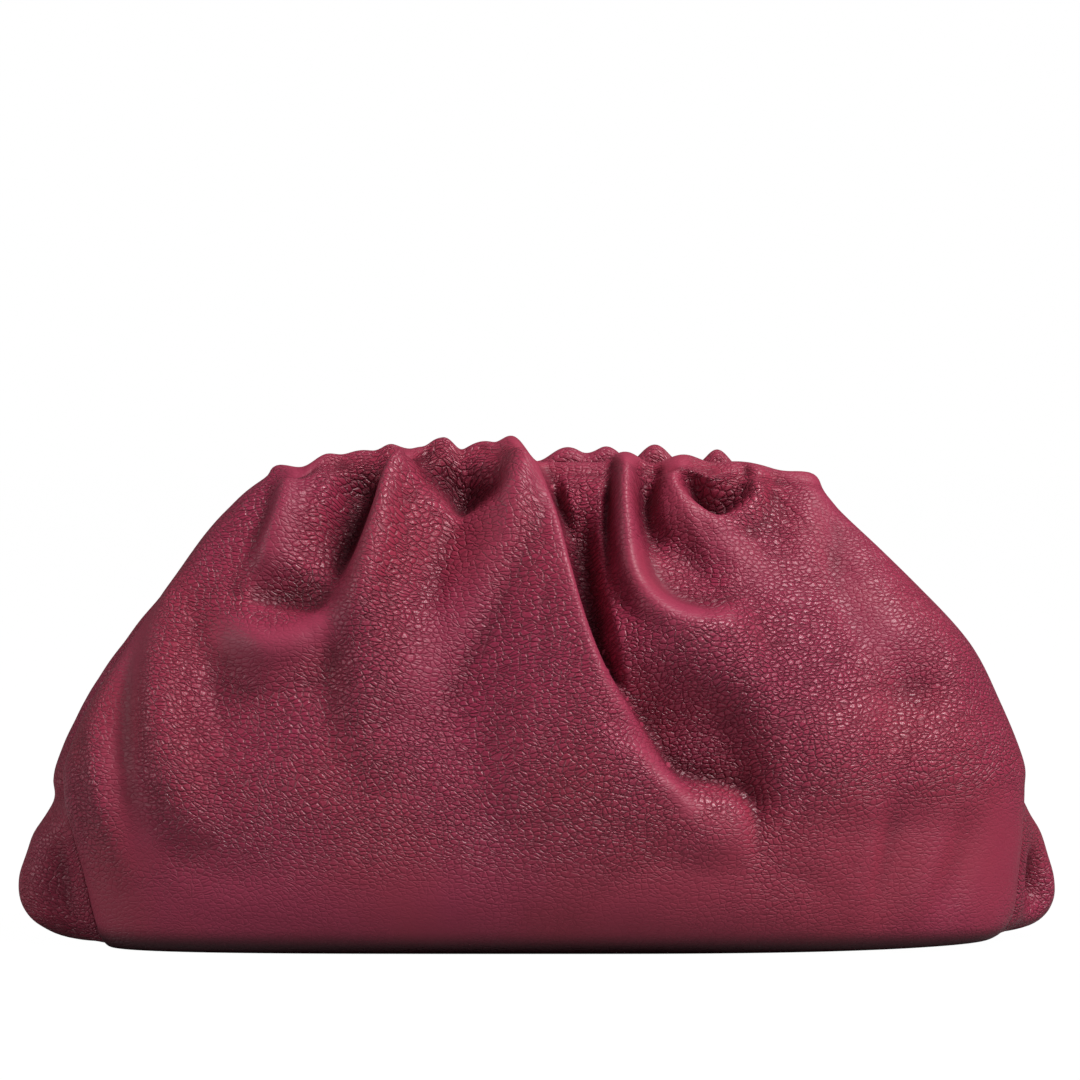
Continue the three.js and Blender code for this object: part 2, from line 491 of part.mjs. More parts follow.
// The leather: two panels and two gussets, whose seams share their edges.
function leatherMeshes() {
  const rows = rowsOf(panelSections());
  const front = rows.map((row) => panelRow(row, -1, FRONT_COLUMNS));
  const back = rows.map((row) => panelRow(row, 1, BACK_COLUMNS));
  const gussetRows = rows.slice(0, -1);
  const gussetGrid = (end) =>
    gussetRows.map((row, r) => gussetRow(row, end, front[r].at(end), back[r].at(end)));
  const left = gussetGrid(0);
  const right = gussetGrid(-1);
  const frontNormals = normalsOf(front, -1);
  const backNormals = normalsOf(back, 1);
  const leftNormals = normalsOf(left, 1);
  const rightNormals = normalsOf(right, -1);
  for (const normal of [...leftNormals.at(-1), ...rightNormals.at(-1)]) normal.set(0, 0, -1);
  mitre(frontNormals, 0, leftNormals, 0);
  mitre(backNormals, 0, leftNormals, GUSSET_COLUMNS);
  mitre(frontNormals, FRONT_COLUMNS, rightNormals, 0);
  mitre(backNormals, BACK_COLUMNS, rightNormals, GUSSET_COLUMNS);
  [front, back, left, right].forEach(pullBack);
  [left, right].forEach(pullBackFoot);
  foldPanel(front, frontNormals, rows, FRONT_FOLDS, FRONT_PEAKS);
  foldPanel(back, backNormals, rows, BACK_FOLDS, BACK_PEAKS);
  return [
    namedMesh("front_panel", wallGeometry(front, frontNormals, false), leather),
    namedMesh("back_panel", wallGeometry(back, backNormals, true), leather),
    namedMesh("left_gusset", wallGeometry(left, leftNormals, true), leather),
    namedMesh("right_gusset", wallGeometry(right, rightNormals, false), leather),
  ];
}

// The frame in the lips: a flat strip bent to a ring, standing on edge, with its top at the middle of the
// lips' turn.
function frameMesh() {
  const top = LIP_TOP - LIP_RADIUS;
  const middleDepth = LIP_INSIDE + LIP_RADIUS;
  const loop = (height, depth) => {
    const row = lipSection(height, depth, 0);
    return [...sectionCurve(row, -1, FRAME_COLUMNS), ...sectionCurve(row, 1, FRAME_COLUMNS).reverse()];
  };
  const [outside, inside] = [middleDepth + FRAME_THICKNESS / 2, middleDepth - FRAME_THICKNESS / 2];
  const loops = [
    loop(top, outside),
    loop(top - FRAME_HEIGHT, outside),
    loop(top - FRAME_HEIGHT, inside),
    loop(top, inside),
  ];
  const stations = loops[0].length;
  const triangles = [];
  for (let k = 0; k < loops.length; k++)
    for (let i = 0; i < stations; i++) {
      const next = (i + 1) % stations;
      const [a, b] = [k * stations + i, k * stations + next];
      const [c, d] = [((k + 1) % 4) * stations + next, ((k + 1) % 4) * stations + i];
      triangles.push(a, d, b, b, d, c);
    }
  const geometry = new THREE.BufferGeometry();
  const positions = loops.flat().flatMap((point) => point.toArray());
  geometry.setAttribute("position", new THREE.Float32BufferAttribute(positions, 3));
  geometry.setIndex(triangles);
  geometry.computeVertexNormals();
  return namedMesh("mouth_frame", geometry, steel);
}

const bag = new THREE.Group();
bag.add(...leatherMeshes(), frameMesh());

export default bag;
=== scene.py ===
"""A soft leather pouch clutch, gathered onto a hidden frame at the mouth and standing on its base.

Lengths are metres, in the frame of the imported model: +X to the right, -Y to the front and +Z up, with the
origin under the middle of the base.
"""
import logging
import math
from dataclasses import dataclass, field, fields
from enum import Enum

import bpy
import numpy as np
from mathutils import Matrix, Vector


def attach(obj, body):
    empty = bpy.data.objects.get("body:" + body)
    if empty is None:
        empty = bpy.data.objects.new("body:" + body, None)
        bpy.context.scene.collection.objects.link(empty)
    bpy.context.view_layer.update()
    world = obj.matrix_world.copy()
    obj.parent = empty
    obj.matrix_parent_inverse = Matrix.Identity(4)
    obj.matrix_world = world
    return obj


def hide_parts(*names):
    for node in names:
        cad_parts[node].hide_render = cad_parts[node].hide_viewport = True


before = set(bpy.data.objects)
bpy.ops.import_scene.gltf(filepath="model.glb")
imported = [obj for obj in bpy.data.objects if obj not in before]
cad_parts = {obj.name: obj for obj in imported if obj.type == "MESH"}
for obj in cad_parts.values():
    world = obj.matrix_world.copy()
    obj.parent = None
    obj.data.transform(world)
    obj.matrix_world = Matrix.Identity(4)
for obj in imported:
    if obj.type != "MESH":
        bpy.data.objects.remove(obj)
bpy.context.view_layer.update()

log = logging.getLogger("pouch")

BODY = "root"

Colour = tuple[float, float, float, float]


class Side(Enum):
    """A panel's side of the bag. The value is the sign of its Y."""

    FRONT = -1
    BACK = 1


class End(Enum):
    """An end of the bag. The value is the sign of its X."""

    LEFT = -1
    RIGHT = 1


class FoldForm(Enum):
    """How a fold's height falls from its line to its sides.

    The values are the powers a and b in (1 - s**a)**b, where s is a share of the fold's width.
    """

    ROUND = (2.0, 2.0)
    CREASE = (1.0, 1.8)
    ROLL = (2.6, 2.2)

    def fall(self, share: np.ndarray) -> np.ndarray:
        """A fold's height across its width.

        Args:
            share: the distance from its line, as a share of its width.

        Returns:
            1 on the line and 0 at the sides.
        """
        inner, outer = self.value
        return (1 - np.clip(share, 0, 1) ** inner) ** outer


@dataclass(frozen=True)
class BagSizes:
    """The bag's driving sizes, in metres, and the lips' form: their height and arch as shares of the bag's
    height, and how square the mouth's ends are."""

    width: float = 0.340
    height: float = 0.167
    depth: float = 0.118
    wall: float = 0.002
    seam_gap: float = 0.0003
    mouth_length: float = 0.182
    mouth_shift: float = 0.0025
    mouth_gap: float = 0.008
    hem_depth: float = 0.019
    frame_thickness: float = 0.002
    frame_play: float = 0.001
    lip_share: float = 0.943
    lip_arch_share: float = 0.03
    lip_power: float = 5.0

    @property
    def half_width(self) -> float:
        """Half the width over the ears."""
        return self.width / 2

    @property
    def half_depth(self) -> float:
        """Half the depth over the panels."""
        return self.depth / 2

    @property
    def lip_radius(self) -> float:
        """The outer radius of the lips' turn over the frame."""
        return (2 * self.wall + self.frame_thickness + 2 * self.frame_play) / 2

    @property
    def lip_top(self) -> float:
        """The lips' height, without the gathers' peaks."""
        return self.lip_share * self.height


@dataclass(frozen=True)
class ViewPoint:
    """Where the photograph was taken from: square to the bag's front and a little above it.

    base_drop is how far below the origin the base's front edge is seen, and seen_height how high the bag is
    seen to be, both on the upright plane through the middle of the bag.
    """

    distance: float = 1.6
    height: float = 0.194
    base_drop: float = 0.0043
    seen_height: float = 0.1707

    def seen(self, points: np.ndarray) -> tuple[np.ndarray, np.ndarray]:
        """Where points appear on the upright plane through the middle of the bag.

        Args:
            points: places on the front or, mirrored, on the back, as an array that ends in three numbers.

        Returns:
            The x and z at which they appear.
        """
        nearer = self.distance / (self.distance - np.abs(points[..., 1]))
        return points[..., 0] * nearer, self.height - (self.height - points[..., 2]) * nearer


@dataclass(frozen=True)
class Section:
    """A level section of the bag.

    Lengths are shares: height, arch, lift and right_lift of the bag's height, depth and seam of half its
    depth, and the others of half its width. power is the exponent of its outline. The bulges and sways are
    the gussets'.
    """

    height: float
    arch: float
    lift: float
    depth: float
    seam: float
    left: float
    right: float
    power: float
    left_bulge: float = 0.0
    left_sway: float = 0.0
    right_bulge: float = 0.0
    right_sway: float = 0.0
    right_lift: float = 0.0


# Columns: height, arch, lift, depth, seam, left, right, power, left_bulge, left_sway, right_bulge, right_sway
# and right_lift.
BODY_SECTIONS = (
    Section(0.895, 0.032, 0, 0.31, 0.06, 0.58, 0.568, 3.4),
    Section(0.84, 0.032, 0, 0.43, 0.1, 0.635, 0.62, 2.8, -0.02, 0.005, -0.02, 0),
    Section(0.74, 0.03, 0, 0.58, 0.16, 0.704, 0.724, 2.5, -0.035, 0.018, -0.035, 0),
    Section(0.61, 0.02, 0, 0.73, 0.23, 0.784, 0.832, 2.4, -0.03, 0.035, -0.04, 0.005),
    Section(0.48, 0.01, 0, 0.86, 0.29, 0.86, 0.892, 2.3, -0.02, 0.034, -0.035, 0.01),
    Section(0.36, 0, 0, 0.95, 0.33, 0.905, 0.934, 2.3, 0.008, 0.022, -0.02, 0.008),
    Section(0.31, 0, 0, 0.975, 0.345, 0.907, 0.935, 2.3, 0.01, 0.032, -0.01, 0.004),
    Section(0.27, 0, 0, 0.99, 0.35, 0.904, 0.934, 2.3, 0.034, 0.01, 0.012, 0),
    Section(0.2, 0, 0, 1, 0.36, 0.885, 0.93, 2.3, 0.096, 0, 0.051, 0, 0.004),
    Section(0.12, 0, 0.001, 0.985, 0.35, 0.864, 0.922, 2.5, 0.142, 0, 0.084, 0, 0.006),
    Section(0.06, 0, 0.001, 0.94, 0.34, 0.85, 0.915, 2.8, 0.148, 0, 0.09, 0, 0.01),
    Section(0.018, 0, 0.001, 0.87, 0.34, 0.836, 0.895, 3.2, 0.12, 0, 0.08, 0, 0.014),
    Section(0, 0, 0.001, 0.77, 0.32, 0.82, 0.865, 3.6, 0.08, 0, 0.05, 0, 0.014),
    Section(0, 0, 0, 0.4, 0.14, 0.8, 0.84, 4, 0, 0, 0, 0, 0.007),
)
ARCH_POWER = 3.0
LIFT_POWER = 6.0
RIGHT_LIFT_POWER = 3
LIP_STEPS = 8
CLEAR_RELIEF = 0.0006
# Shares of the bag's height: painted shade at the base is full below the first and gone above the second.
BASE_SHADE_SHARES = (0.012, 0.055)


@dataclass(frozen=True)
class Fold:
    """A fold, ridge or valley of a panel, as it is seen from straight in front.

    path holds shares of half the width, from the middle, and of the height that is seen. rise is its height
    at the start, middle and foot, as a share of half the depth, and below zero in a valley. left and right
    are its widths at the start and foot, as shares of half the width: the picture's left and right for a
    fold drawn downwards, and the lower and upper sides of one drawn to the right. lean tips the crest over
    to the right. smooth is how far the fold stretches the grain out, or below zero how far it crowds it.
    """

    name: str
    path: tuple[tuple[float, float], ...]
    rise: tuple[float, float, float]
    left: tuple[float, float]
    right: tuple[float, float]
    lean: float = 0.0
    form: FoldForm = FoldForm.ROUND
    smooth: float = 0.0

    def rise_at(self, along: np.ndarray) -> np.ndarray:
        """Works out the rise along the fold.

        Args:
            along: shares of its length.

        Returns:
            The rise there, on a curve through the three given ones.
        """
        first, middle, foot = self.rise
        near_ends = first * (1 - along) * (1 - 2 * along) + foot * along * (2 * along - 1)
        return near_ends + 4 * middle * along * (1 - along)

    def width_at(self, along: np.ndarray, side: np.ndarray) -> np.ndarray:
        """The width at shares of the fold's length, on sides from -1, the left, to 1, the right."""
        left, right = (start + (foot - start) * along for start, foot in (self.left, self.right))
        return left + (right - left) * (1 + side) / 2


@dataclass(frozen=True)
class Peak:
    """A peak of the gathers along a lip. Its place and width are shares of half the bag's width, its rise
    one of the height."""

    at: float
    width: float
    rise: float


FRONT_FOLDS = (
    Fold("left pocket valley", ((-0.268, 0.975), (-0.296, 0.915), (-0.326, 0.87), (-0.352, 0.81),
          (-0.378, 0.765), (-0.41, 0.715)),
         (-0.13, -0.21, 0), (0.075, 0.09), (0.036, 0.045), form=FoldForm.ROLL, smooth=-0.3),
    Fold("left pocket rim", ((-0.238, 0.97), (-0.264, 0.915), (-0.294, 0.865), (-0.312, 0.8),
          (-0.33, 0.74), (-0.36, 0.68), (-0.41, 0.62), (-0.47, 0.577), (-0.53, 0.563), (-0.6, 0.585)),
         (0.07, 0.105, 0.02), (0.035, 0.07), (0.06, 0.08), smooth=0.7),
    Fold("left bulge", ((-0.605, 0.63), (-0.52, 0.605), (-0.44, 0.625)),
         (0.02, 0.07, 0.02), (0.07, 0.07), (0.05, 0.04), smooth=0.6),
    Fold("left shelf", ((-0.57, 0.69), (-0.5, 0.68), (-0.44, 0.675)),
         (-0.03, -0.11, -0.07), (0.028, 0.028), (0.08, 0.08), smooth=-0.4),
    Fold("left puff ridge", ((-0.445, 0.965), (-0.458, 0.93), (-0.476, 0.88), (-0.5, 0.82), (-0.525, 0.76),
          (-0.548, 0.71)),
         (0.06, 0.08, 0.02), (0.035, 0.04), (0.06, 0.08), smooth=0.7),
    Fold("left puff groove", ((-0.495, 0.91), (-0.535, 0.82), (-0.58, 0.73)),
         (-0.02, -0.035, -0.01), (0.05, 0.06), (0.03, 0.04)),
    Fold("left shoulder ridge", ((-0.57, 0.87), (-0.645, 0.77), (-0.7, 0.67)),
         (0.01, 0.015, 0.01), (0.05, 0.05), (0.05, 0.05)),
    Fold("left groove", ((-0.645, 0.66), (-0.628, 0.57), (-0.61, 0.47), (-0.575, 0.357)),
         (-0.02, -0.055, 0), (0.045, 0.06), (0.1, 0.13)),
    Fold("left rib", ((-0.69, 0.74), (-0.725, 0.657), (-0.735, 0.513), (-0.715, 0.357), (-0.65, 0.19)),
         (0, 0.075, 0), (0.06, 0.1), (0.06, 0.09)),
    Fold("left smooth band", ((-0.76, 0.66), (-0.8, 0.5), (-0.81, 0.34), (-0.77, 0.2)),
         (-0.02, -0.04, 0), (0.05, 0.06), (0.06, 0.07), smooth=0.9),
    Fold("left low curve", ((-0.76, 0.3), (-0.7, 0.2), (-0.6, 0.145), (-0.48, 0.18)),
         (0, -0.012, 0), (0.06, 0.06), (0.07, 0.07)),
    Fold("left edge ridge", ((-0.86, 0.45), (-0.85, 0.3), (-0.81, 0.15)),
         (0.01, 0.04, 0.01), (0.035, 0.04), (0.05, 0.05)),
    Fold("middle puff", ((-0.225, 0.985), (-0.25, 0.9), (-0.283, 0.8), (-0.308, 0.7), (-0.322, 0.6),
          (-0.328, 0.5), (-0.318, 0.42)),
         (0.05, 0.18, 0.05), (0.085, 0.09), (0.09, 0.17), smooth=-0.3),
    Fold("puff side", ((-0.14, 0.78), (-0.175, 0.69), (-0.22, 0.6), (-0.262, 0.51), (-0.29, 0.44)),
         (0, 0.01, -0.01), (0.07, 0.06), (0.04, 0.03)),
    Fold("diagonal ridge", ((-0.02, 0.965), (-0.045, 0.87), (-0.085, 0.78), (-0.13, 0.68), (-0.17, 0.6),
          (-0.22, 0.51), (-0.257, 0.45)),
         (0.02, 0.085, 0), (0.1, 0.09), (0.07, 0.06), smooth=0.6),
    Fold("scallop", ((-0.205, 0.905), (-0.165, 0.875), (-0.12, 0.868), (-0.075, 0.89)),
         (-0.15, -0.21, -0.08), (0.055, 0.055), (0.1, 0.1), smooth=-0.5),
    Fold("scallop lip", ((-0.18, 0.985), (-0.12, 0.985), (-0.04, 0.98)),
         (0.04, 0.06, 0.05), (0.04, 0.04), (0.06, 0.06), smooth=0.6),
    Fold("flap", ((-0.035, 0.985), (-0.025, 0.945), (-0.008, 0.9), (0.012, 0.85), (0.026, 0.8),
          (0.037, 0.75), (0.049, 0.7), (0.062, 0.65), (0.079, 0.6), (0.1, 0.55), (0.127, 0.5),
          (0.16, 0.445), (0.215, 0.37), (0.262, 0.3), (0.305, 0.245)),
         (0.1, 0.2, 0.02), (0.1, 0.42), (0.022, 0.045), lean=0.02),
    Fold("flap edge", ((-0.02, 0.95), (0.02, 0.85), (0.06, 0.7), (0.085, 0.6), (0.13, 0.5), (0.21, 0.37),
          (0.29, 0.27)),
         (0, 0.01, 0), (0.05, 0.03), (0.04, 0.04), smooth=0.8),
    Fold("flap foot ridge", ((-0.01, 0.5), (-0.025, 0.42), (-0.05, 0.34), (-0.09, 0.26)),
         (0, 0.03, 0), (0.06, 0.07), (0.06, 0.06)),
    Fold("flap thin line", ((0, 0.7), (-0.004, 0.62), (-0.008, 0.55), (-0.012, 0.48)),
         (0, -0.015, 0), (0.015, 0.02), (0.015, 0.02)),
    Fold("recess", ((0.08, 0.87), (0.085, 0.81), (0.094, 0.74), (0.105, 0.67), (0.118, 0.6), (0.132, 0.55),
          (0.15, 0.49)),
         (-0.04, -0.24, -0.02), (0.055, 0.032), (0.05, 0.03), form=FoldForm.ROLL, smooth=-0.5),
    Fold("recess slit", ((0.022, 0.975), (0.03, 0.92), (0.045, 0.87), (0.064, 0.81)),
         (-0.16, -0.14, 0), (0.014, 0.02), (0.018, 0.025)),
    Fold("recess right slit", ((0.142, 0.95), (0.138, 0.86), (0.14, 0.76), (0.146, 0.66)),
         (-0.03, -0.08, 0), (0.012, 0.02), (0.01, 0.012)),
    Fold("roll", ((0.173, 0.985), (0.17, 0.9), (0.17, 0.83), (0.178, 0.76), (0.2, 0.7), (0.235, 0.66),
          (0.28, 0.635)),
         (0.1, 0.15, 0.02), (0.026, 0.06), (0.034, 0.05), smooth=0.8),
    Fold("roll sill", ((0.185, 0.69), (0.225, 0.648), (0.275, 0.62), (0.34, 0.61), (0.43, 0.63)),
         (0.03, 0.175, 0.03), (0.19, 0.2), (0.05, 0.07)),
    Fold("roll band", ((0.21, 0.74), (0.24, 0.69), (0.29, 0.65), (0.36, 0.635)),
         (0, 0.01, 0), (0.05, 0.04), (0.05, 0.05), smooth=0.9),
    Fold("roll groove", ((0.222, 0.95), (0.214, 0.91), (0.208, 0.87), (0.212, 0.825), (0.232, 0.79),
          (0.255, 0.77)),
         (-0.14, -0.12, 0), (0.024, 0.03), (0.026, 0.04), smooth=-0.3),
    Fold("second rim", ((0.277, 0.975), (0.263, 0.92), (0.263, 0.875), (0.29, 0.835), (0.34, 0.8),
          (0.39, 0.765), (0.43, 0.73)),
         (0.07, 0.075, 0.01), (0.035, 0.09), (0.04, 0.055), smooth=0.7),
    Fold("bowl", ((0.25, 0.79), (0.3, 0.755), (0.37, 0.71)), (-0.02, -0.03, 0), (0.05, 0.05), (0.05, 0.05)),
    Fold("knot hollow", ((0.295, 0.885), (0.34, 0.862), (0.395, 0.87)),
         (-0.06, -0.15, -0.06), (0.03, 0.03), (0.03, 0.03), smooth=-0.5),
    Fold("knot tongue", ((0.285, 0.91), (0.33, 0.902), (0.38, 0.915)),
         (0.05, 0.09, 0.05), (0.016, 0.016), (0.03, 0.03)),
    Fold("knot ridge", ((0.42, 0.95), (0.424, 0.89), (0.405, 0.85), (0.36, 0.828), (0.32, 0.84)),
         (0.06, 0.06, 0.02), (0.02, 0.02), (0.04, 0.04)),
    Fold("right rim", ((0.5, 0.93), (0.525, 0.87), (0.534, 0.8), (0.51, 0.71)),
         (0.02, 0.03, 0), (0.05, 0.08), (0.045, 0.07), smooth=0.4),
    Fold("right puff", ((0.37, 0.6), (0.42, 0.55), (0.46, 0.475), (0.485, 0.4), (0.495, 0.33),
          (0.485, 0.26), (0.44, 0.18)),
         (0.05, 0.1, 0), (0.14, 0.08), (0.24, 0.22), smooth=-0.3),
    Fold("shoulder stripe", ((0.555, 0.87), (0.573, 0.79), (0.6, 0.7), (0.65, 0.6)),
         (0, -0.012, 0), (0.05, 0.07), (0.05, 0.07), smooth=0.45),
    Fold("shoulder ridge", ((0.57, 0.9), (0.6, 0.83), (0.65, 0.72), (0.71, 0.59)),
         (0.01, 0.04, 0.01), (0.06, 0.08), (0.09, 0.12), smooth=0.3),
    Fold("right belly", ((0.5, 0.37), (0.6, 0.377), (0.72, 0.39), (0.84, 0.38), (0.92, 0.36)),
         (0, 0.09, 0.01), (0.16, 0.16), (0.13, 0.13)),
    Fold("right bulge", ((0.73, 0.66), (0.8, 0.55), (0.835, 0.44)),
         (0.01, 0.045, 0), (0.09, 0.09), (0.07, 0.07)),
    Fold("right diagonal valley", ((0.78, 0.64), (0.75, 0.55), (0.71, 0.45), (0.672, 0.36), (0.65, 0.28)),
         (0, -0.035, 0), (0.08, 0.08), (0.07, 0.07)),
    Fold("hollow", ((0.2, 0.4), (0.25, 0.36), (0.31, 0.34), (0.37, 0.325), (0.415, 0.295), (0.43, 0.24),
          (0.43, 0.17)),
         (-0.14, -0.13, 0), (0.05, 0.03), (0.25, 0.17), form=FoldForm.CREASE, smooth=-0.2),
    Fold("pinch", ((0.27, 0.285), (0.33, 0.255), (0.395, 0.24)),
         (0.02, 0.055, 0.035), (0.13, 0.1), (0.07, 0.07), smooth=0.2),
    Fold("pinch edge", ((0.418, 0.3), (0.42, 0.25), (0.414, 0.19)),
         (-0.005, -0.015, 0), (0.03, 0.03), (0.04, 0.04)),
    Fold("right lower rib", ((0.665, 0.33), (0.645, 0.2), (0.62, 0.08)),
         (0, 0.014, 0.004), (0.04, 0.05), (0.03, 0.03)),
    Fold("right lower groove", ((0.7, 0.33), (0.69, 0.2), (0.66, 0.06)),
         (0, -0.016, -0.006), (0.035, 0.035), (0.04, 0.04)),
    Fold("right outer rib", ((0.79, 0.3), (0.77, 0.2), (0.73, 0.08)),
         (0, 0.015, 0.005), (0.04, 0.04), (0.04, 0.04)),
    Fold("right outer groove", ((0.84, 0.28), (0.825, 0.18), (0.78, 0.06)),
         (0, -0.02, -0.006), (0.045, 0.045), (0.045, 0.045)),
)

BACK_FOLDS = (
    Fold("left gather", ((-0.43, 0.94), (-0.5, 0.8), (-0.58, 0.62)),
         (0.08, 0.09, 0.01), (0.06, 0.1), (0.05, 0.08)),
    Fold("left valley", ((-0.34, 0.93), (-0.39, 0.78), (-0.46, 0.6)),
         (-0.07, -0.16, 0), (0.05, 0.08), (0.03, 0.05), form=FoldForm.CREASE),
    Fold("left puff", ((-0.24, 0.97), (-0.27, 0.78), (-0.33, 0.52), (-0.36, 0.32)),
         (0.1, 0.17, 0), (0.08, 0.2), (0.09, 0.2), form=FoldForm.ROLL),
    Fold("left middle valley", ((-0.11, 0.93), (-0.13, 0.77), (-0.2, 0.5), (-0.24, 0.34)),
         (-0.07, -0.17, 0), (0.05, 0.09), (0.035, 0.07), form=FoldForm.CREASE),
    Fold("middle puff", ((0, 0.98), (0.01, 0.78), (-0.03, 0.55), (-0.06, 0.34)),
         (0.1, 0.18, 0), (0.08, 0.18), (0.07, 0.2), lean=0.015),
    Fold("right middle valley", ((0.1, 0.93), (0.13, 0.77), (0.2, 0.56), (0.24, 0.42)),
         (-0.1, -0.19, 0), (0.02, 0.05), (0.06, 0.12)),
    Fold("right roll", ((0.19, 0.96), (0.21, 0.8), (0.3, 0.66)),
         (0.1, 0.12, 0), (0.03, 0.05), (0.05, 0.08), form=FoldForm.ROLL),
    Fold("right groove", ((0.27, 0.93), (0.3, 0.8), (0.41, 0.66)),
         (-0.05, -0.13, 0), (0.03, 0.05), (0.025, 0.04), form=FoldForm.CREASE),
    Fold("right puff", ((0.38, 0.94), (0.44, 0.76), (0.5, 0.55), (0.48, 0.34)),
         (0.08, 0.14, 0), (0.1, 0.2), (0.12, 0.24)),
    Fold("right shoulder valley", ((0.52, 0.88), (0.6, 0.72), (0.66, 0.55)),
         (-0.03, -0.08, 0), (0.05, 0.06), (0.05, 0.08)),
    Fold("left lower valley", ((-0.72, 0.5), (-0.62, 0.34), (-0.52, 0.22)),
         (0, -0.07, 0), (0.08, 0.08), (0.06, 0.06)),
    Fold("right lower valley", ((0.78, 0.45), (0.7, 0.3), (0.58, 0.18)),
         (0, -0.07, 0), (0.06, 0.06), (0.08, 0.08)),
)

FRONT_PEAKS = (
    Peak(-0.51, 0.09, 0.026),
    Peak(-0.415, 0.045, 0.026),
    Peak(-0.34, 0.1, 0.034),
    Peak(-0.275, 0.04, 0.03),
    Peak(-0.227, 0.045, 0.034),
    Peak(-0.182, 0.04, 0.05),
    Peak(-0.1, 0.09, 0.042),
    Peak(-0.04, 0.045, 0.036),
    Peak(0.17, 0.05, 0.022),
    Peak(0.285, 0.06, 0.02),
    Peak(0.4, 0.1, 0.014),
    Peak(0.52, 0.06, 0.01),
)
BACK_PEAKS = (
    Peak(-0.3, 0.07, 0.012),
    Peak(-0.12, 0.07, 0.014),
    Peak(0.06, 0.06, 0.028),
    Peak(0.135, 0.05, 0.03),
    Peak(0.23, 0.05, 0.036),
    Peak(0.352, 0.04, 0.034),
)


def smooth_step(low: float, high: float, value: np.ndarray) -> np.ndarray:
    """A smooth rise from 0 at low to 1 at high."""
    share = np.clip((value - low) / (high - low), 0, 1)
    return share * share * (3 - 2 * share)


def through_points(points: np.ndarray, at: np.ndarray) -> np.ndarray:
    """A smooth curve through the rows of a table.

    Args:
        points: the table, one row for each point.
        at: places along it, where 0 is the first row and 1 the second.

    Returns:
        One row for each place.
    """
    first = np.clip(np.floor(at).astype(int), 0, len(points) - 2)
    share = (at - first)[:, None]
    before = points[np.maximum(first - 1, 0)]
    start = points[first]
    end = points[first + 1]
    after = points[np.minimum(first + 2, len(points) - 1)]
    bend = 2 * before - 5 * start + 4 * end - after + share * (3 * (start - end) + after - before)
    return start + 0.5 * share * (end - before + share * bend)


@dataclass
class SoftNoise:
    """Smooth noise in space, from a lattice of fixed random numbers."""

    seed: int
    lattice: np.ndarray = field(init=False)

    SPAN = 32

    def __post_init__(self) -> None:
        """Draws the lattice."""
        self.lattice = np.random.default_rng(self.seed).uniform(-1, 1, (self.SPAN,) * 3)

    def at(self, places: np.ndarray) -> np.ndarray:
        """The noise, from -1 to 1.

        Args:
            places: points, in steps of the lattice, as an array that ends in three numbers.

        Returns:
            One value for each point.
        """
        cell = np.floor(places).astype(int)
        share = places - cell
        share = share * share * (3 - 2 * share)
        total = np.zeros(places.shape[:-1])
        for corner in np.ndindex(2, 2, 2):
            weight = np.ones(places.shape[:-1])
            for axis, step in enumerate(corner):
                weight = weight * (share[..., axis] if step else 1 - share[..., axis])
            index = tuple((cell[..., axis] + corner[axis]) % self.SPAN for axis in range(3))
            total += weight * self.lattice[index]
        return total


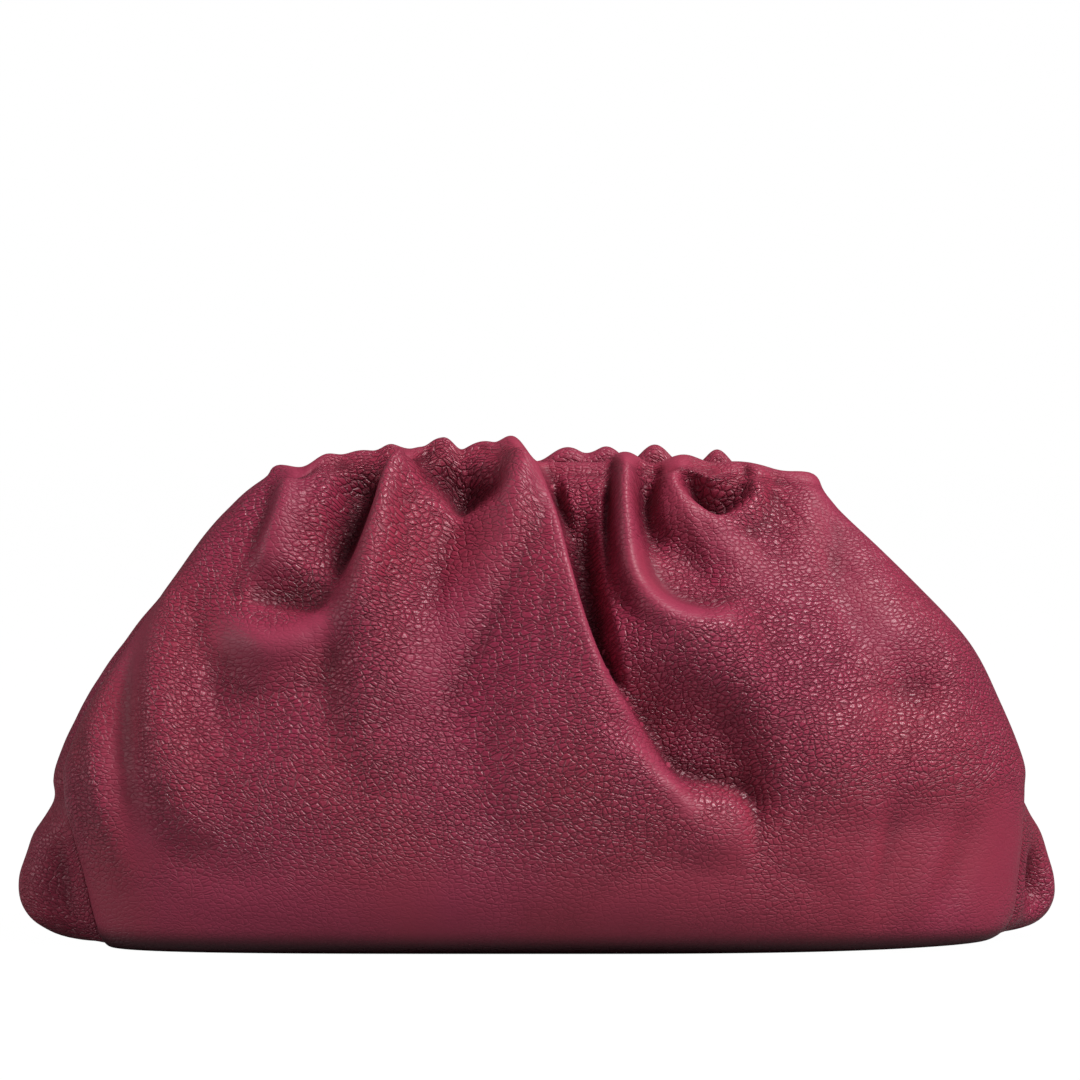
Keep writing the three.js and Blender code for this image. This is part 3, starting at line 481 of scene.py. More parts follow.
@dataclass
class BagForm:
    """The bag's smooth form before its folds: level sections from the hem inside the mouth to the base's
    middle."""

    sizes: BagSizes = field(default_factory=BagSizes)
    row_count: int = 228
    curve_steps: int = 240
    table: np.ndarray = field(init=False)
    row: dict[str, np.ndarray] = field(init=False)

    NAMES = tuple(one.name for one in fields(Section)) + ("folds", "peaks")
    MEASURE_STEPS = 40

    def __post_init__(self) -> None:
        """Works out the rows, spaced evenly down the middle of the panel."""
        self.table = np.array(self.sections())
        places = np.linspace(0, len(self.table) - 1, (len(self.table) - 1) * self.MEASURE_STEPS + 1)
        dense = through_points(self.table, places)
        heights, depths = dense[:, self.NAMES.index("height")], dense[:, self.NAMES.index("depth")]
        run = np.concatenate([[0], np.cumsum(np.hypot(np.diff(heights), np.diff(depths)))])
        chosen = np.interp(np.linspace(0, run[-1], self.row_count + 1), run, places)
        rows = through_points(self.table, chosen)
        self.row = dict(zip(self.NAMES, rows.T))
        self.row["height"] = np.maximum(self.row["height"], 0)
        self.row["place"] = chosen

    @property
    def lip_end(self) -> float:
        """The place of the lips' lower edge along the table of sections."""
        return float(LIP_STEPS + 1)

    @property
    def foot_row(self) -> int:
        """The last row of the gussets, before the middle of the base."""
        return int(np.searchsorted(self.row["place"], len(self.table) - 2))

    @property
    def lip_foot(self) -> float:
        """The height of the lips' lower edge."""
        return float(np.interp(self.lip_end, self.row["place"], self.row["height"]))

    def near_lip(self, start: float) -> np.ndarray:
        """How near each row is to the lips, from 0 at a height to 1 on them, as one column."""
        fade = smooth_step(start, self.lip_foot, self.row["height"][:, None])
        return np.where(self.row["place"][:, None] <= self.lip_end, 1.0, fade)

    def lip_section(self, height: float, depth: float, folds: float, peaks: float) -> list[float]:
        """A section through the lips.

        Args:
            height: its height.
            depth: its distance from the middle of the mouth.
            folds: the share of the folds that shows there.
            peaks: the share of the gathers' peaks that shows there.

        Returns:
            The numbers that NAMES lists.
        """
        sizes = self.sizes
        outside = sizes.mouth_gap / 2 + 2 * sizes.lip_radius
        half = sizes.mouth_length / 2 - (outside - depth)
        left, right = half - sizes.mouth_shift, half + sizes.mouth_shift
        arch = sizes.lip_arch_share * sizes.height
        outline = [height, arch, 0, depth, sizes.mouth_gap / 4, left, right, sizes.lip_power]
        return outline + [0] * 5 + [folds, peaks]

    def sections(self) -> list[list[float]]:
        """Works out all the sections in metres, from the hem to the middle of the base.

        Returns:
            For each section, the numbers that NAMES lists.
        """
        sizes = self.sizes
        inside = sizes.mouth_gap / 2
        made = [self.lip_section(sizes.lip_top - sizes.hem_depth, inside, 0, 0)]
        for step in range(LIP_STEPS + 1):
            angle = step / LIP_STEPS * math.pi
            made.append(self.lip_section(
                sizes.lip_top - sizes.lip_radius * (1 - math.sin(angle)),
                inside + sizes.lip_radius * (1 - math.cos(angle)),
                max(-math.cos(angle), 0),
                1,
            ))
        scale = np.array([sizes.height] * 3 + [sizes.half_depth] * 2 + [sizes.half_width] * 2 + [1]
                         + [sizes.half_width] * 4 + [sizes.height])
        for section in BODY_SECTIONS:
            shares = np.array([getattr(section, one.name) for one in fields(Section)])
            made.append([*(shares * scale), 1, 1])
        middle = list(made[-1])
        middle[self.NAMES.index("depth")] = sizes.seam_gap / 2
        middle[self.NAMES.index("seam")] = sizes.seam_gap / 2
        return [*made, middle]

    def panel(self, side: Side, columns: int) -> np.ndarray:
        """A panel's smooth form, its columns spaced evenly along each row.

        Args:
            side: the front or the back.
            columns: how many steps from seam to seam.

        Returns:
            Points, by row and column.
        """
        row = {name: values[:, None] for name, values in self.row.items()}
        share = np.sin(np.linspace(-math.pi / 2, math.pi / 2, self.curve_steps + 1))[None, :]
        size = np.abs(share)
        round_off = np.maximum(1 - size ** row["power"], 0) ** (1 / row["power"])
        x = (row["right"] - row["left"]) / 2 + (row["right"] + row["left"]) / 2 * share
        y = side.value * (row["seam"] + (row["depth"] - row["seam"]) * round_off)
        z = row["height"] - row["arch"] * size**ARCH_POWER + row["lift"] * size**LIFT_POWER
        z = z + row["right_lift"] * np.maximum(share, 0) ** RIGHT_LIFT_POWER
        measured = np.stack([x, y, z + 0 * x], axis=-1)
        steps = np.linalg.norm(np.diff(measured, axis=1), axis=-1)
        run = np.concatenate([np.zeros((len(steps), 1)), np.cumsum(steps, axis=1)], axis=1)
        grid = np.empty((len(measured), columns + 1, 3))
        for r, (reached, points) in enumerate(zip(run, measured)):
            wanted = np.linspace(0, reached[-1], columns + 1)
            for axis in range(3):
                grid[r, :, axis] = np.interp(wanted, reached, points[:, axis])
        return grid


def grid_normals(grid: np.ndarray, facing: int) -> np.ndarray:
    """The outward directions of a grid of points.

    Args:
        grid: points, by row and column.
        facing: 1 or -1, which turns them outwards.

    Returns:
        Unit vectors, by row and column.
    """
    down = np.gradient(grid, axis=0)
    across = np.gradient(grid, axis=1)
    normals = facing * np.cross(across, down)
    return normals / np.maximum(np.linalg.norm(normals, axis=-1, keepdims=True), 1e-12)


def relaxed(grid: np.ndarray, rounds: int) -> np.ndarray:
    """Evens out a grid of points, as leather does that is too stiff for a sharp crease. The rim stays.

    Args:
        grid: points, by row and column.
        rounds: how many times each point moves towards its neighbours.

    Returns:
        The evened points.
    """
    even = grid.copy()
    for _ in range(rounds):
        around = even[:-2, 1:-1] + even[2:, 1:-1] + even[1:-1, :-2] + even[1:-1, 2:]
        even[1:-1, 1:-1] = 0.5 * even[1:-1, 1:-1] + 0.125 * around
    return even


@dataclass
class BesidePath:
    """Where places lie beside a path: how far from it, how far along as a share, on which side from -1 to
    1, and which way it is across the path."""

    distance: np.ndarray
    along: np.ndarray
    side: np.ndarray
    across: np.ndarray


def beside_path(path: np.ndarray, places: np.ndarray) -> BesidePath:
    """Finds the part of a path that is nearest to each place.

    Args:
        path: evenly spaced points.
        places: points, one to a row.

    Returns:
        Where the places lie beside the path.
    """
    count = len(places)
    found = BesidePath(np.full(count, np.inf), np.zeros(count), np.zeros(count), np.zeros((count, 2)))
    for i, (start, end) in enumerate(zip(path, path[1:])):
        run = end - start
        length = float(np.hypot(*run))
        share = np.clip(((places - start) * run).sum(axis=1) / length**2, 0, 1)
        off = places - start - share[:, None] * run
        distance = np.hypot(off[:, 0], off[:, 1])
        across = np.array([-run[1], run[0]]) / length
        nearer = distance < found.distance
        turned = (off * across).sum(axis=1) / np.maximum(distance, 1e-9)
        found.distance[nearer] = distance[nearer]
        found.along[nearer] = (i + share[nearer]) / (len(path) - 1)
        found.side[nearer] = turned[nearer]
        found.across[nearer] = across
    return found


@dataclass
class FoldSum:
    """What all the folds do to each point: how far they push it out, how far they lean it to the right and
    up, and how smooth they pull its grain."""

    out: np.ndarray
    lean_x: np.ndarray
    lean_z: np.ndarray
    smooth: np.ndarray


@dataclass
class FoldSculptor:
    """Works out how far a panel's folds stand out."""

    sizes: BagSizes
    view: ViewPoint
    folds: tuple[Fold, ...]
    curve_points: int = 12
    path_steps: int = 60

    def line(self, fold: Fold) -> np.ndarray:
        """Draws a fold's path.

        Args:
            fold: the fold.

        Returns:
            Evenly spaced points on it, in metres.
        """
        table = np.array(fold.path) * [self.sizes.half_width, self.view.seen_height]
        table -= [0, self.view.base_drop]
        dense = through_points(table, np.linspace(0, len(table) - 1, self.curve_points * len(table)))
        run = np.concatenate([[0], np.cumsum(np.linalg.norm(np.diff(dense, axis=0), axis=1))])
        wanted = np.linspace(0, run[-1], self.path_steps + 1)
        return np.stack([np.interp(wanted, run, dense[:, axis]) for axis in (0, 1)], axis=1)

    def stand_out(self, x: np.ndarray, z: np.ndarray) -> FoldSum:
        """The sum of the folds at the places where a panel's points are seen.

        Args:
            x: how far right each place is seen.
            z: how high each place is seen.

        Returns:
            What the folds do there.
        """
        made = FoldSum(*(np.zeros_like(x) for _ in range(4)))
        half_width = self.sizes.half_width
        for fold in self.folds:
            path = self.line(fold)
            reach = max(*fold.left, *fold.right) * half_width
            low, high = path.min(axis=0) - reach, path.max(axis=0) + reach
            inside = (x > low[0]) & (x < high[0]) & (z > low[1]) & (z < high[1])
            spot = beside_path(path, np.stack([x[inside], z[inside]], axis=1))
            swell = fold.form.fall(spot.distance / (fold.width_at(spot.along, spot.side) * half_width))
            tip = fold.lean * half_width * np.sin(math.pi * spot.along) * swell
            made.out[inside] += fold.rise_at(spot.along) * self.sizes.half_depth * swell
            made.lean_x[inside] += tip * spot.across[:, 0]
            made.lean_z[inside] += tip * spot.across[:, 1]
            made.smooth[inside] += fold.smooth * swell
        return made


def placed(name: str, data: bpy.types.ID) -> bpy.types.Object:
    """Makes an object and puts it in the scene.

    Args:
        name: the object's name.
        data: its mesh, light or camera.

    Returns:
        The object.
    """
    made = bpy.data.objects.new(name, data)
    bpy.context.scene.collection.objects.link(made)
    return made


def leather_wall(
    name: str, outer: np.ndarray, normals: np.ndarray, wall: float, flip: bool, coarse: int
) -> bpy.types.Object:
    """A wall of leather: a fine outer grid, a coarser one inside it, and a rim between them.

    Args:
        name: the piece's name.
        outer: the outer points, by row and column, with a multiple of coarse steps each way.
        normals: the directions through the wall's thickness.
        wall: its thickness.
        flip: whether the grid's faces have to be turned round.
        coarse: how many outer steps make one inner step.

    Returns:
        The piece.
    """
    rows, columns = outer.shape[:2]
    inner = (outer - wall * normals)[::coarse, ::coarse]
    inner_rows, inner_columns = inner.shape[:2]
    points = np.concatenate([outer.reshape(-1, 3), inner.reshape(-1, 3)])
    outer_at = np.arange(rows * columns).reshape(rows, columns)
    inner_at = rows * columns + np.arange(inner_rows * inner_columns).reshape(inner_rows, inner_columns)
    faces: list[tuple[int, ...]] = []

    def quads(at: np.ndarray, turned: bool) -> None:
        """Adds a grid's faces."""
        made = np.stack([at[:-1, :-1], at[1:, :-1], at[1:, 1:], at[:-1, 1:]], axis=-1).reshape(-1, 4)
        faces.extend(map(tuple, (made[:, ::-1] if turned else made).tolist()))

    def rim(fine: np.ndarray, rough: np.ndarray, turned: bool) -> None:
        """Adds the faces between an edge of the outer grid and the same edge of the inner one.

        Args:
            fine: the outer edge's points.
            rough: the inner edge's points.
            turned: whether the faces have to be turned round.
        """
        for step in range(len(rough) - 1):
            near, far = int(rough[step]), int(rough[step + 1])
            edge = [int(one) for one in fine[step * coarse:(step + 1) * coarse + 1]]
            half = coarse // 2
            made = [(edge[k], edge[k + 1], near) for k in range(half)]
            made.append((edge[half], far, near))
            made += [(edge[k], edge[k + 1], far) for k in range(half, coarse)]
            faces.extend(one[::-1] if turned else one for one in made)

    quads(outer_at, flip)
    quads(inner_at, not flip)
    rim(outer_at[0], inner_at[0], flip)
    rim(outer_at[-1], inner_at[-1], not flip)
    rim(outer_at[:, 0], inner_at[:, 0], not flip)
    rim(outer_at[:, -1], inner_at[:, -1], flip)
    mesh = bpy.data.meshes.new(name)
    mesh.from_pydata(points.tolist(), [], faces)
    mesh.polygons.foreach_set("use_smooth", np.ones(len(mesh.polygons), bool))
    return placed(name, mesh)


def set_attribute(piece: bpy.types.Object, name: str, values: np.ndarray) -> None:
    """Stores a number or a vector for each of a piece's points.

    Args:
        piece: the piece.
        name: the attribute's name.
        values: the values of the first points, by row and column. The others get 0.
    """
    is_vector = values.ndim == 3
    everywhere = np.zeros(len(piece.data.vertices) * (3 if is_vector else 1), np.float32)
    everywhere[: values.size] = values.ravel()
    made = piece.data.attributes.new(name, "FLOAT_VECTOR" if is_vector else "FLOAT", "POINT")
    made.data.foreach_set("vector" if is_vector else "value", everywhere)


def spread_of(grid: np.ndarray, start: float) -> np.ndarray:
    """Where each point of a grid lies on the leather when it is spread out flat.

    Args:
        grid: points, by row and column.
        start: a place along the hide, so that each piece has its own grain.

    Returns:
        The distance across from the middle column and down from the first row.
    """
    across = np.linalg.norm(np.diff(grid, axis=1), axis=-1)
    down = np.linalg.norm(np.diff(grid, axis=0), axis=-1)
    flat = np.zeros_like(grid)
    flat[:, 1:, 0] = np.cumsum(across, axis=1)
    flat[..., 0] += start - flat[:, grid.shape[1] // 2, 0][:, None]
    flat[1:, :, 1] = np.cumsum(down, axis=0)
    return flat


def relief_of(grid: np.ndarray, normals: np.ndarray, reach: int) -> np.ndarray:
    """How far each point of a grid stands above its surroundings, from about -1 in a valley to 1 on a ridge.

    Args:
        grid: points, by row and column.
        normals: the outward directions.
        reach: how many steps away the surroundings are.

    Returns:
        One number for each point.
    """
    padded = np.pad(grid, ((reach, reach), (reach, reach), (0, 0)), mode="edge")
    rows, columns = grid.shape[:2]
    around = np.zeros_like(grid)
    for down, across in ((0, 1), (2, 1), (1, 0), (1, 2)):
        around += padded[down * reach:down * reach + rows, across * reach:across * reach + columns]
    height = ((grid - around / 4) * normals).sum(axis=-1)
    return np.tanh(height / CLEAR_RELIEF)


def base_shade(points: np.ndarray, sizes: BagSizes) -> np.ndarray:
    """Painted shade where the leather turns under to the base, from 0 to 1.

    Args:
        points: the piece's points, by row and column.
        sizes: the bag's sizes.

    Returns:
        One number for each point.
    """
    dark, clear = (share * sizes.height for share in BASE_SHADE_SHARES)
    return 1 - smooth_step(dark, clear, points[..., 2])


@dataclass(frozen=True)
class GrainSettings:
    """The grain: its pebbles in a metre, how flat they lie, and the strength of the bump and its depth."""

    pebble_scale: float = 455.0
    flatten: float = 1.5
    bump: float = 1.0
    depth: float = 0.0005


class NodeTree:
    """Helps to lay out a material's or a group's nodes."""

    def __init__(self, tree: bpy.types.NodeTree) -> None:
        """Keeps the tree that the nodes go in."""
        self.tree = tree

    def add(
        self, kind: str, inputs: dict[str | int, object] | None = None, **settings: object
    ) -> bpy.types.Node:
        """Adds a node.

        Args:
            kind: the node's type.
            inputs: values, or sockets to join, by the input's name or number.
            **settings: the node's own properties.

        Returns:
            The node.
        """
        node = self.tree.nodes.new(kind)
        for name, value in settings.items():
            setattr(node, name, value)
        for name, value in (inputs or {}).items():
            if isinstance(value, bpy.types.NodeSocket):
                self.tree.links.new(value, node.inputs[name])
            else:
                node.inputs[name].default_value = value
        return node

    def math(self, operation: str, *values: object) -> bpy.types.NodeSocket:
        """Adds a Math node and returns what it puts out."""
        return self.add("ShaderNodeMath", dict(enumerate(values)), operation=operation).outputs[0]

    def mix(self, share: object, first: object, second: object) -> bpy.types.NodeSocket:
        """Adds a colour Mix node and returns what it puts out."""
        return self.add("ShaderNodeMix", {0: share, 6: first, 7: second}, data_type="RGBA").outputs[2]

    def ramp(
        self, value: object, low: float, high: float, start: float = 0.0, end: float = 1.0
    ) -> bpy.types.NodeSocket:
        """Adds a smooth Map Range node and returns what it puts out."""
        inputs = {"Value": value, "From Min": low, "From Max": high, "To Min": start, "To Max": end}
        return self.add("ShaderNodeMapRange", inputs, interpolation_type="SMOOTHSTEP").outputs[0]

    def vector(self, operation: str, *values: object, **inputs: object) -> bpy.types.NodeSocket:
        """Adds a Vector Math node and returns what it puts out."""
        node = self.add("ShaderNodeVectorMath", dict(enumerate(values)) | inputs, operation=operation)
        return node.outputs[0]

    def noise(
        self, place: object, scale: object, detail: float = 2.0, roughness: float = 0.5
    ) -> bpy.types.Node:
        """Adds a Noise Texture node."""
        inputs = {"Vector": place, "Scale": scale, "Detail": detail, "Roughness": roughness}
        return self.add("ShaderNodeTexNoise", inputs)

    def cells(self, place: object, scale: object, feature: str) -> bpy.types.Node:
        """Adds a Voronoi Texture node that takes the first two coordinates."""
        inputs = {"Vector": place, "Scale": scale}
        return self.add("ShaderNodeTexVoronoi", inputs, feature=feature, voronoi_dimensions="2D")

    def attribute(self, name: str, output: str = "Fac") -> bpy.types.NodeSocket:
        """Adds an Attribute node and returns one of its outputs."""
        return self.add("ShaderNodeAttribute", attribute_name=name).outputs[output]

    def layered(self, start: object, layers: tuple[tuple[object, float], ...]) -> bpy.types.NodeSocket:
        """Adds layers to a value.

        Args:
            start: the value.
            layers: each layer and what it is multiplied by.

        Returns:
            The sum.
        """
        for layer, share in layers:
            start = self.math("MULTIPLY_ADD", layer, share, start)
        return start


class NodeGroup(NodeTree):
    """A shader node group with named inputs and outputs."""

    def __init__(self, name: str, inputs: dict[str, tuple[str, object]], outputs: dict[str, str]) -> None:
        """Makes the group and its sockets.

        Args:
            name: the group's name.
            inputs: each input's socket type and value, by its name.
            outputs: each output's socket type, by its name.
        """
        self.group = bpy.data.node_groups.new(name, "ShaderNodeTree")
        super().__init__(self.group)
        for label, (kind, value) in inputs.items():
            socket = self.group.interface.new_socket(label, in_out="INPUT", socket_type=kind)
            if value is not None:
                socket.default_value = value
        for label, kind in outputs.items():
            self.group.interface.new_socket(label, in_out="OUTPUT", socket_type=kind)
        self.given = self.add("NodeGroupInput").outputs
        self.result = self.add("NodeGroupOutput")

    def put_out(self, label: str, socket: bpy.types.NodeSocket) -> None:
        """Joins a socket to one of the group's outputs."""
        self.tree.links.new(socket, self.result.inputs[label])


def pebble_group() -> bpy.types.NodeTree:
    """Makes the pebbled grain: flat pebbles with narrow gaps, smaller ones on them, and long wrinkles.

    Returns:
        The group.
    """
    made = NodeGroup(
        "pebbled grain",
        {
            "Vector": ("NodeSocketVector", None),
            "Pebble Scale": ("NodeSocketFloat", 400.0),
            "Flatten": ("NodeSocketFloat", 1.5),
            "Stretch": ("NodeSocketFloat", 0.0),
        },
        {"Height": "NodeSocketFloat", "Gap": "NodeSocketFloat", "Tone": "NodeSocketFloat"},
    )
    place, scale = made.given["Vector"], made.given["Pebble Scale"]
    for warp_scale, reach in ((60.0, 0.004), (380.0, 0.0012)):
        warp = made.noise(place, warp_scale, 1.0).outputs["Color"]
        shift = made.vector("SCALE", made.vector("SUBTRACT", warp, (0.5, 0.5, 0.5)), Scale=reach)
        place = made.vector("ADD", place, shift)
    flat = made.add("ShaderNodeCombineXYZ", {0: 1.0, 1: made.given["Flatten"], 2: 1.0}).outputs[0]
    place = made.vector("MULTIPLY", place, flat)
    edges = made.cells(place, scale, "DISTANCE_TO_EDGE").outputs["Distance"]
    pebbles = made.cells(place, scale, "F1").outputs
    small = made.cells(place, made.math("MULTIPLY", scale, 2.1), "DISTANCE_TO_EDGE").outputs["Distance"]
    lines = made.noise(made.vector("MULTIPLY", place, (1.0, 2.4, 1.0)), 120.0).outputs["Fac"]
    from_line = made.math("ABSOLUTE", made.math("SUBTRACT", lines, 0.5))
    wrinkle = made.ramp(from_line, 0.0, 0.045, 1.0, 0.0)
    gap = made.ramp(edges, 0.0, 0.15, 1.0, 0.0)
    layers = (
        (made.ramp(pebbles["Distance"], 0.1, 0.75, 1.0, 0.0), 0.14),
        (made.ramp(edges, 0.0, 0.26), 0.36),
        (made.ramp(small, 0.0, 0.25), 0.08),
        (gap, -0.22),
        (wrinkle, -0.35),
        (made.noise(place, 1900.0).outputs["Fac"], 0.04),
    )
    kept = made.math("SUBTRACT", 1.0, made.math("MULTIPLY", made.given["Stretch"], 0.8))
    made.put_out("Height", made.math("MULTIPLY", made.layered(0.0, layers), kept))
    dark = made.math("MAXIMUM", gap, made.math("MULTIPLY", wrinkle, 0.8))
    made.put_out("Gap", made.math("MULTIPLY", dark, kept))
    made.put_out("Tone", made.add("ShaderNodeSeparateColor", {0: pebbles["Color"]}).outputs[0])
    return made.group


def mottle_group() -> bpy.types.NodeTree:
    """Makes the slow changes of a dyed hide's colour, and the patches where it is pulled smooth.

    Returns:
        The group.
    """
    made = NodeGroup(
        "hide mottle",
        {"Vector": ("NodeSocketVector", None), "Scale": ("NodeSocketFloat", 14.0)},
        {"Cloud": "NodeSocketFloat", "Smooth": "NodeSocketFloat"},
    )
    place, scale = made.given["Vector"], made.given["Scale"]
    made.put_out("Cloud", made.noise(place, scale, 4.0, 0.55).outputs["Fac"])
    moved = made.vector("ADD", place, (0.31, 0.17, 0.53))
    patch = made.noise(moved, made.math("MULTIPLY", scale, 1.6)).outputs["Fac"]
    made.put_out("Smooth", made.ramp(patch, 0.5, 0.72))
    return made.group


def empty_material(name: str) -> tuple[bpy.types.Material, NodeTree]:
    """Makes a material without nodes.

    Args:
        name: the material's name.

    Returns:
        The material, and what lays out its nodes.
    """
    material = bpy.data.materials.new(name)
    material.use_nodes = True
    material.node_tree.nodes.clear()
    return material, NodeTree(material.node_tree)


@dataclass(frozen=True)
class LeatherFinish:
    """Burgundy pebbled leather with a soft gloss."""

    name: str = "burgundy leather"
    middle: Colour = (0.27, 0.022, 0.06, 1)
    warm: Colour = (0.28, 0.024, 0.052, 1)
    # Painted highlight on ridges, and also the random tone of single pebbles.
    light: Colour = (0.35, 0.045, 0.09, 1)
    # Painted shade in valleys, and also the dark of the grain's gaps.
    deep: Colour = (0.1, 0.006, 0.018, 1)
    # Painted shade where the leather turns under to the base and in deep fold valleys.
    shadow: Colour = (0.008, 0.001, 0.002, 1)
    roughness: float = 0.36
    grain: GrainSettings = GrainSettings()

    def build(self, pebbles: bpy.types.NodeTree, mottle: bpy.types.NodeTree) -> bpy.types.Material:
        """Makes the material.

        Args:
            pebbles: the group for the grain.
            mottle: the group for the colour's slow changes.

        Returns:
            The material.
        """
        material, nodes = empty_material(self.name)
        place = nodes.add("ShaderNodeTexCoord").outputs["Object"]
        relief, stretch = nodes.attribute("relief"), nodes.attribute("stretch")
        cloud = nodes.add("ShaderNodeGroup", {"Vector": place}, node_tree=mottle).outputs
        grain = nodes.add(
            "ShaderNodeGroup",
            {
                "Vector": nodes.attribute("spread", "Vector"),
                "Pebble Scale": self.grain.pebble_scale,
                "Flatten": self.grain.flatten,
                "Stretch": nodes.layered(stretch, ((cloud["Smooth"], 0.25),)),
            },
            node_tree=pebbles,
        ).outputs
        colour = nodes.mix(nodes.ramp(cloud["Cloud"], 0.35, 0.65), self.middle, self.warm)
        # Painted highlight on ridges and painted shade in valleys from relief, the grain's dark gaps, a
        # random pebble tone, then painted shade from the shade attribute.
        for mask, share, tint in (
            (nodes.ramp(relief, 0.1, 0.9), 0.35, self.light),
            (nodes.ramp(relief, -0.9, -0.1, 1.0, 0.0), 0.6, self.deep),
            (grain["Gap"], 0.6, self.deep),
            (grain["Tone"], 0.05, self.light),
            (nodes.attribute("shade"), 0.92, self.shadow),
        ):
            colour = nodes.mix(nodes.math("MULTIPLY", mask, share), colour, tint)
        rough = nodes.layered(self.roughness, (
            (grain["Gap"], 0.2),
            (nodes.ramp(stretch, 0.0, 1.0), 0.2),
            (nodes.ramp(relief, 0.0, 1.0), -0.06),
        ))
        bump = nodes.add(
            "ShaderNodeBump",
            {"Height": grain["Height"], "Strength": self.grain.bump, "Distance": self.grain.depth},
        )
        shader = nodes.add(
            "ShaderNodeBsdfPrincipled",
            {"Base Color": colour, "Roughness": rough, "Normal": bump.outputs[0], "Specular IOR Level": 0.36},
        )
        nodes.add("ShaderNodeOutputMaterial", {"Surface": shader.outputs[0]})
        return material


@dataclass(frozen=True)
class SteelFinish:
    """Plain spring steel with a faint brushed streak, for the frame in the lips."""

    name: str = "frame steel"
    dark: Colour = (0.38, 0.37, 0.35, 1)
    light: Colour = (0.52, 0.5, 0.47, 1)

    def build(self) -> bpy.types.Material:
        """Makes the material.

        Returns:
            The material.
        """
        material, nodes = empty_material(self.name)
        place = nodes.add("ShaderNodeTexCoord").outputs["Object"]
        drawn = nodes.add("ShaderNodeMapping", {"Vector": place, "Scale": (40.0, 40.0, 2200.0)}).outputs[0]
        streak = nodes.noise(drawn, 1.0, 3.0).outputs["Fac"]
        rough = nodes.ramp(streak, 0.2, 0.8, 0.28, 0.42)
        shader = nodes.add(
            "ShaderNodeBsdfPrincipled",
            {"Base Color": nodes.mix(streak, self.dark, self.light), "Metallic": 1.0, "Roughness": rough},
        )
        nodes.add("ShaderNodeOutputMaterial", {"Surface": shader.outputs[0]})
        return material


@dataclass
class PanelShape:
    """A panel's outer points, the directions through its wall, how smooth its grain is, and how far its
    folds push it in, by row and column."""

    points: np.ndarray
    through: np.ndarray
    smooth: np.ndarray
    pushed_in: np.ndarray


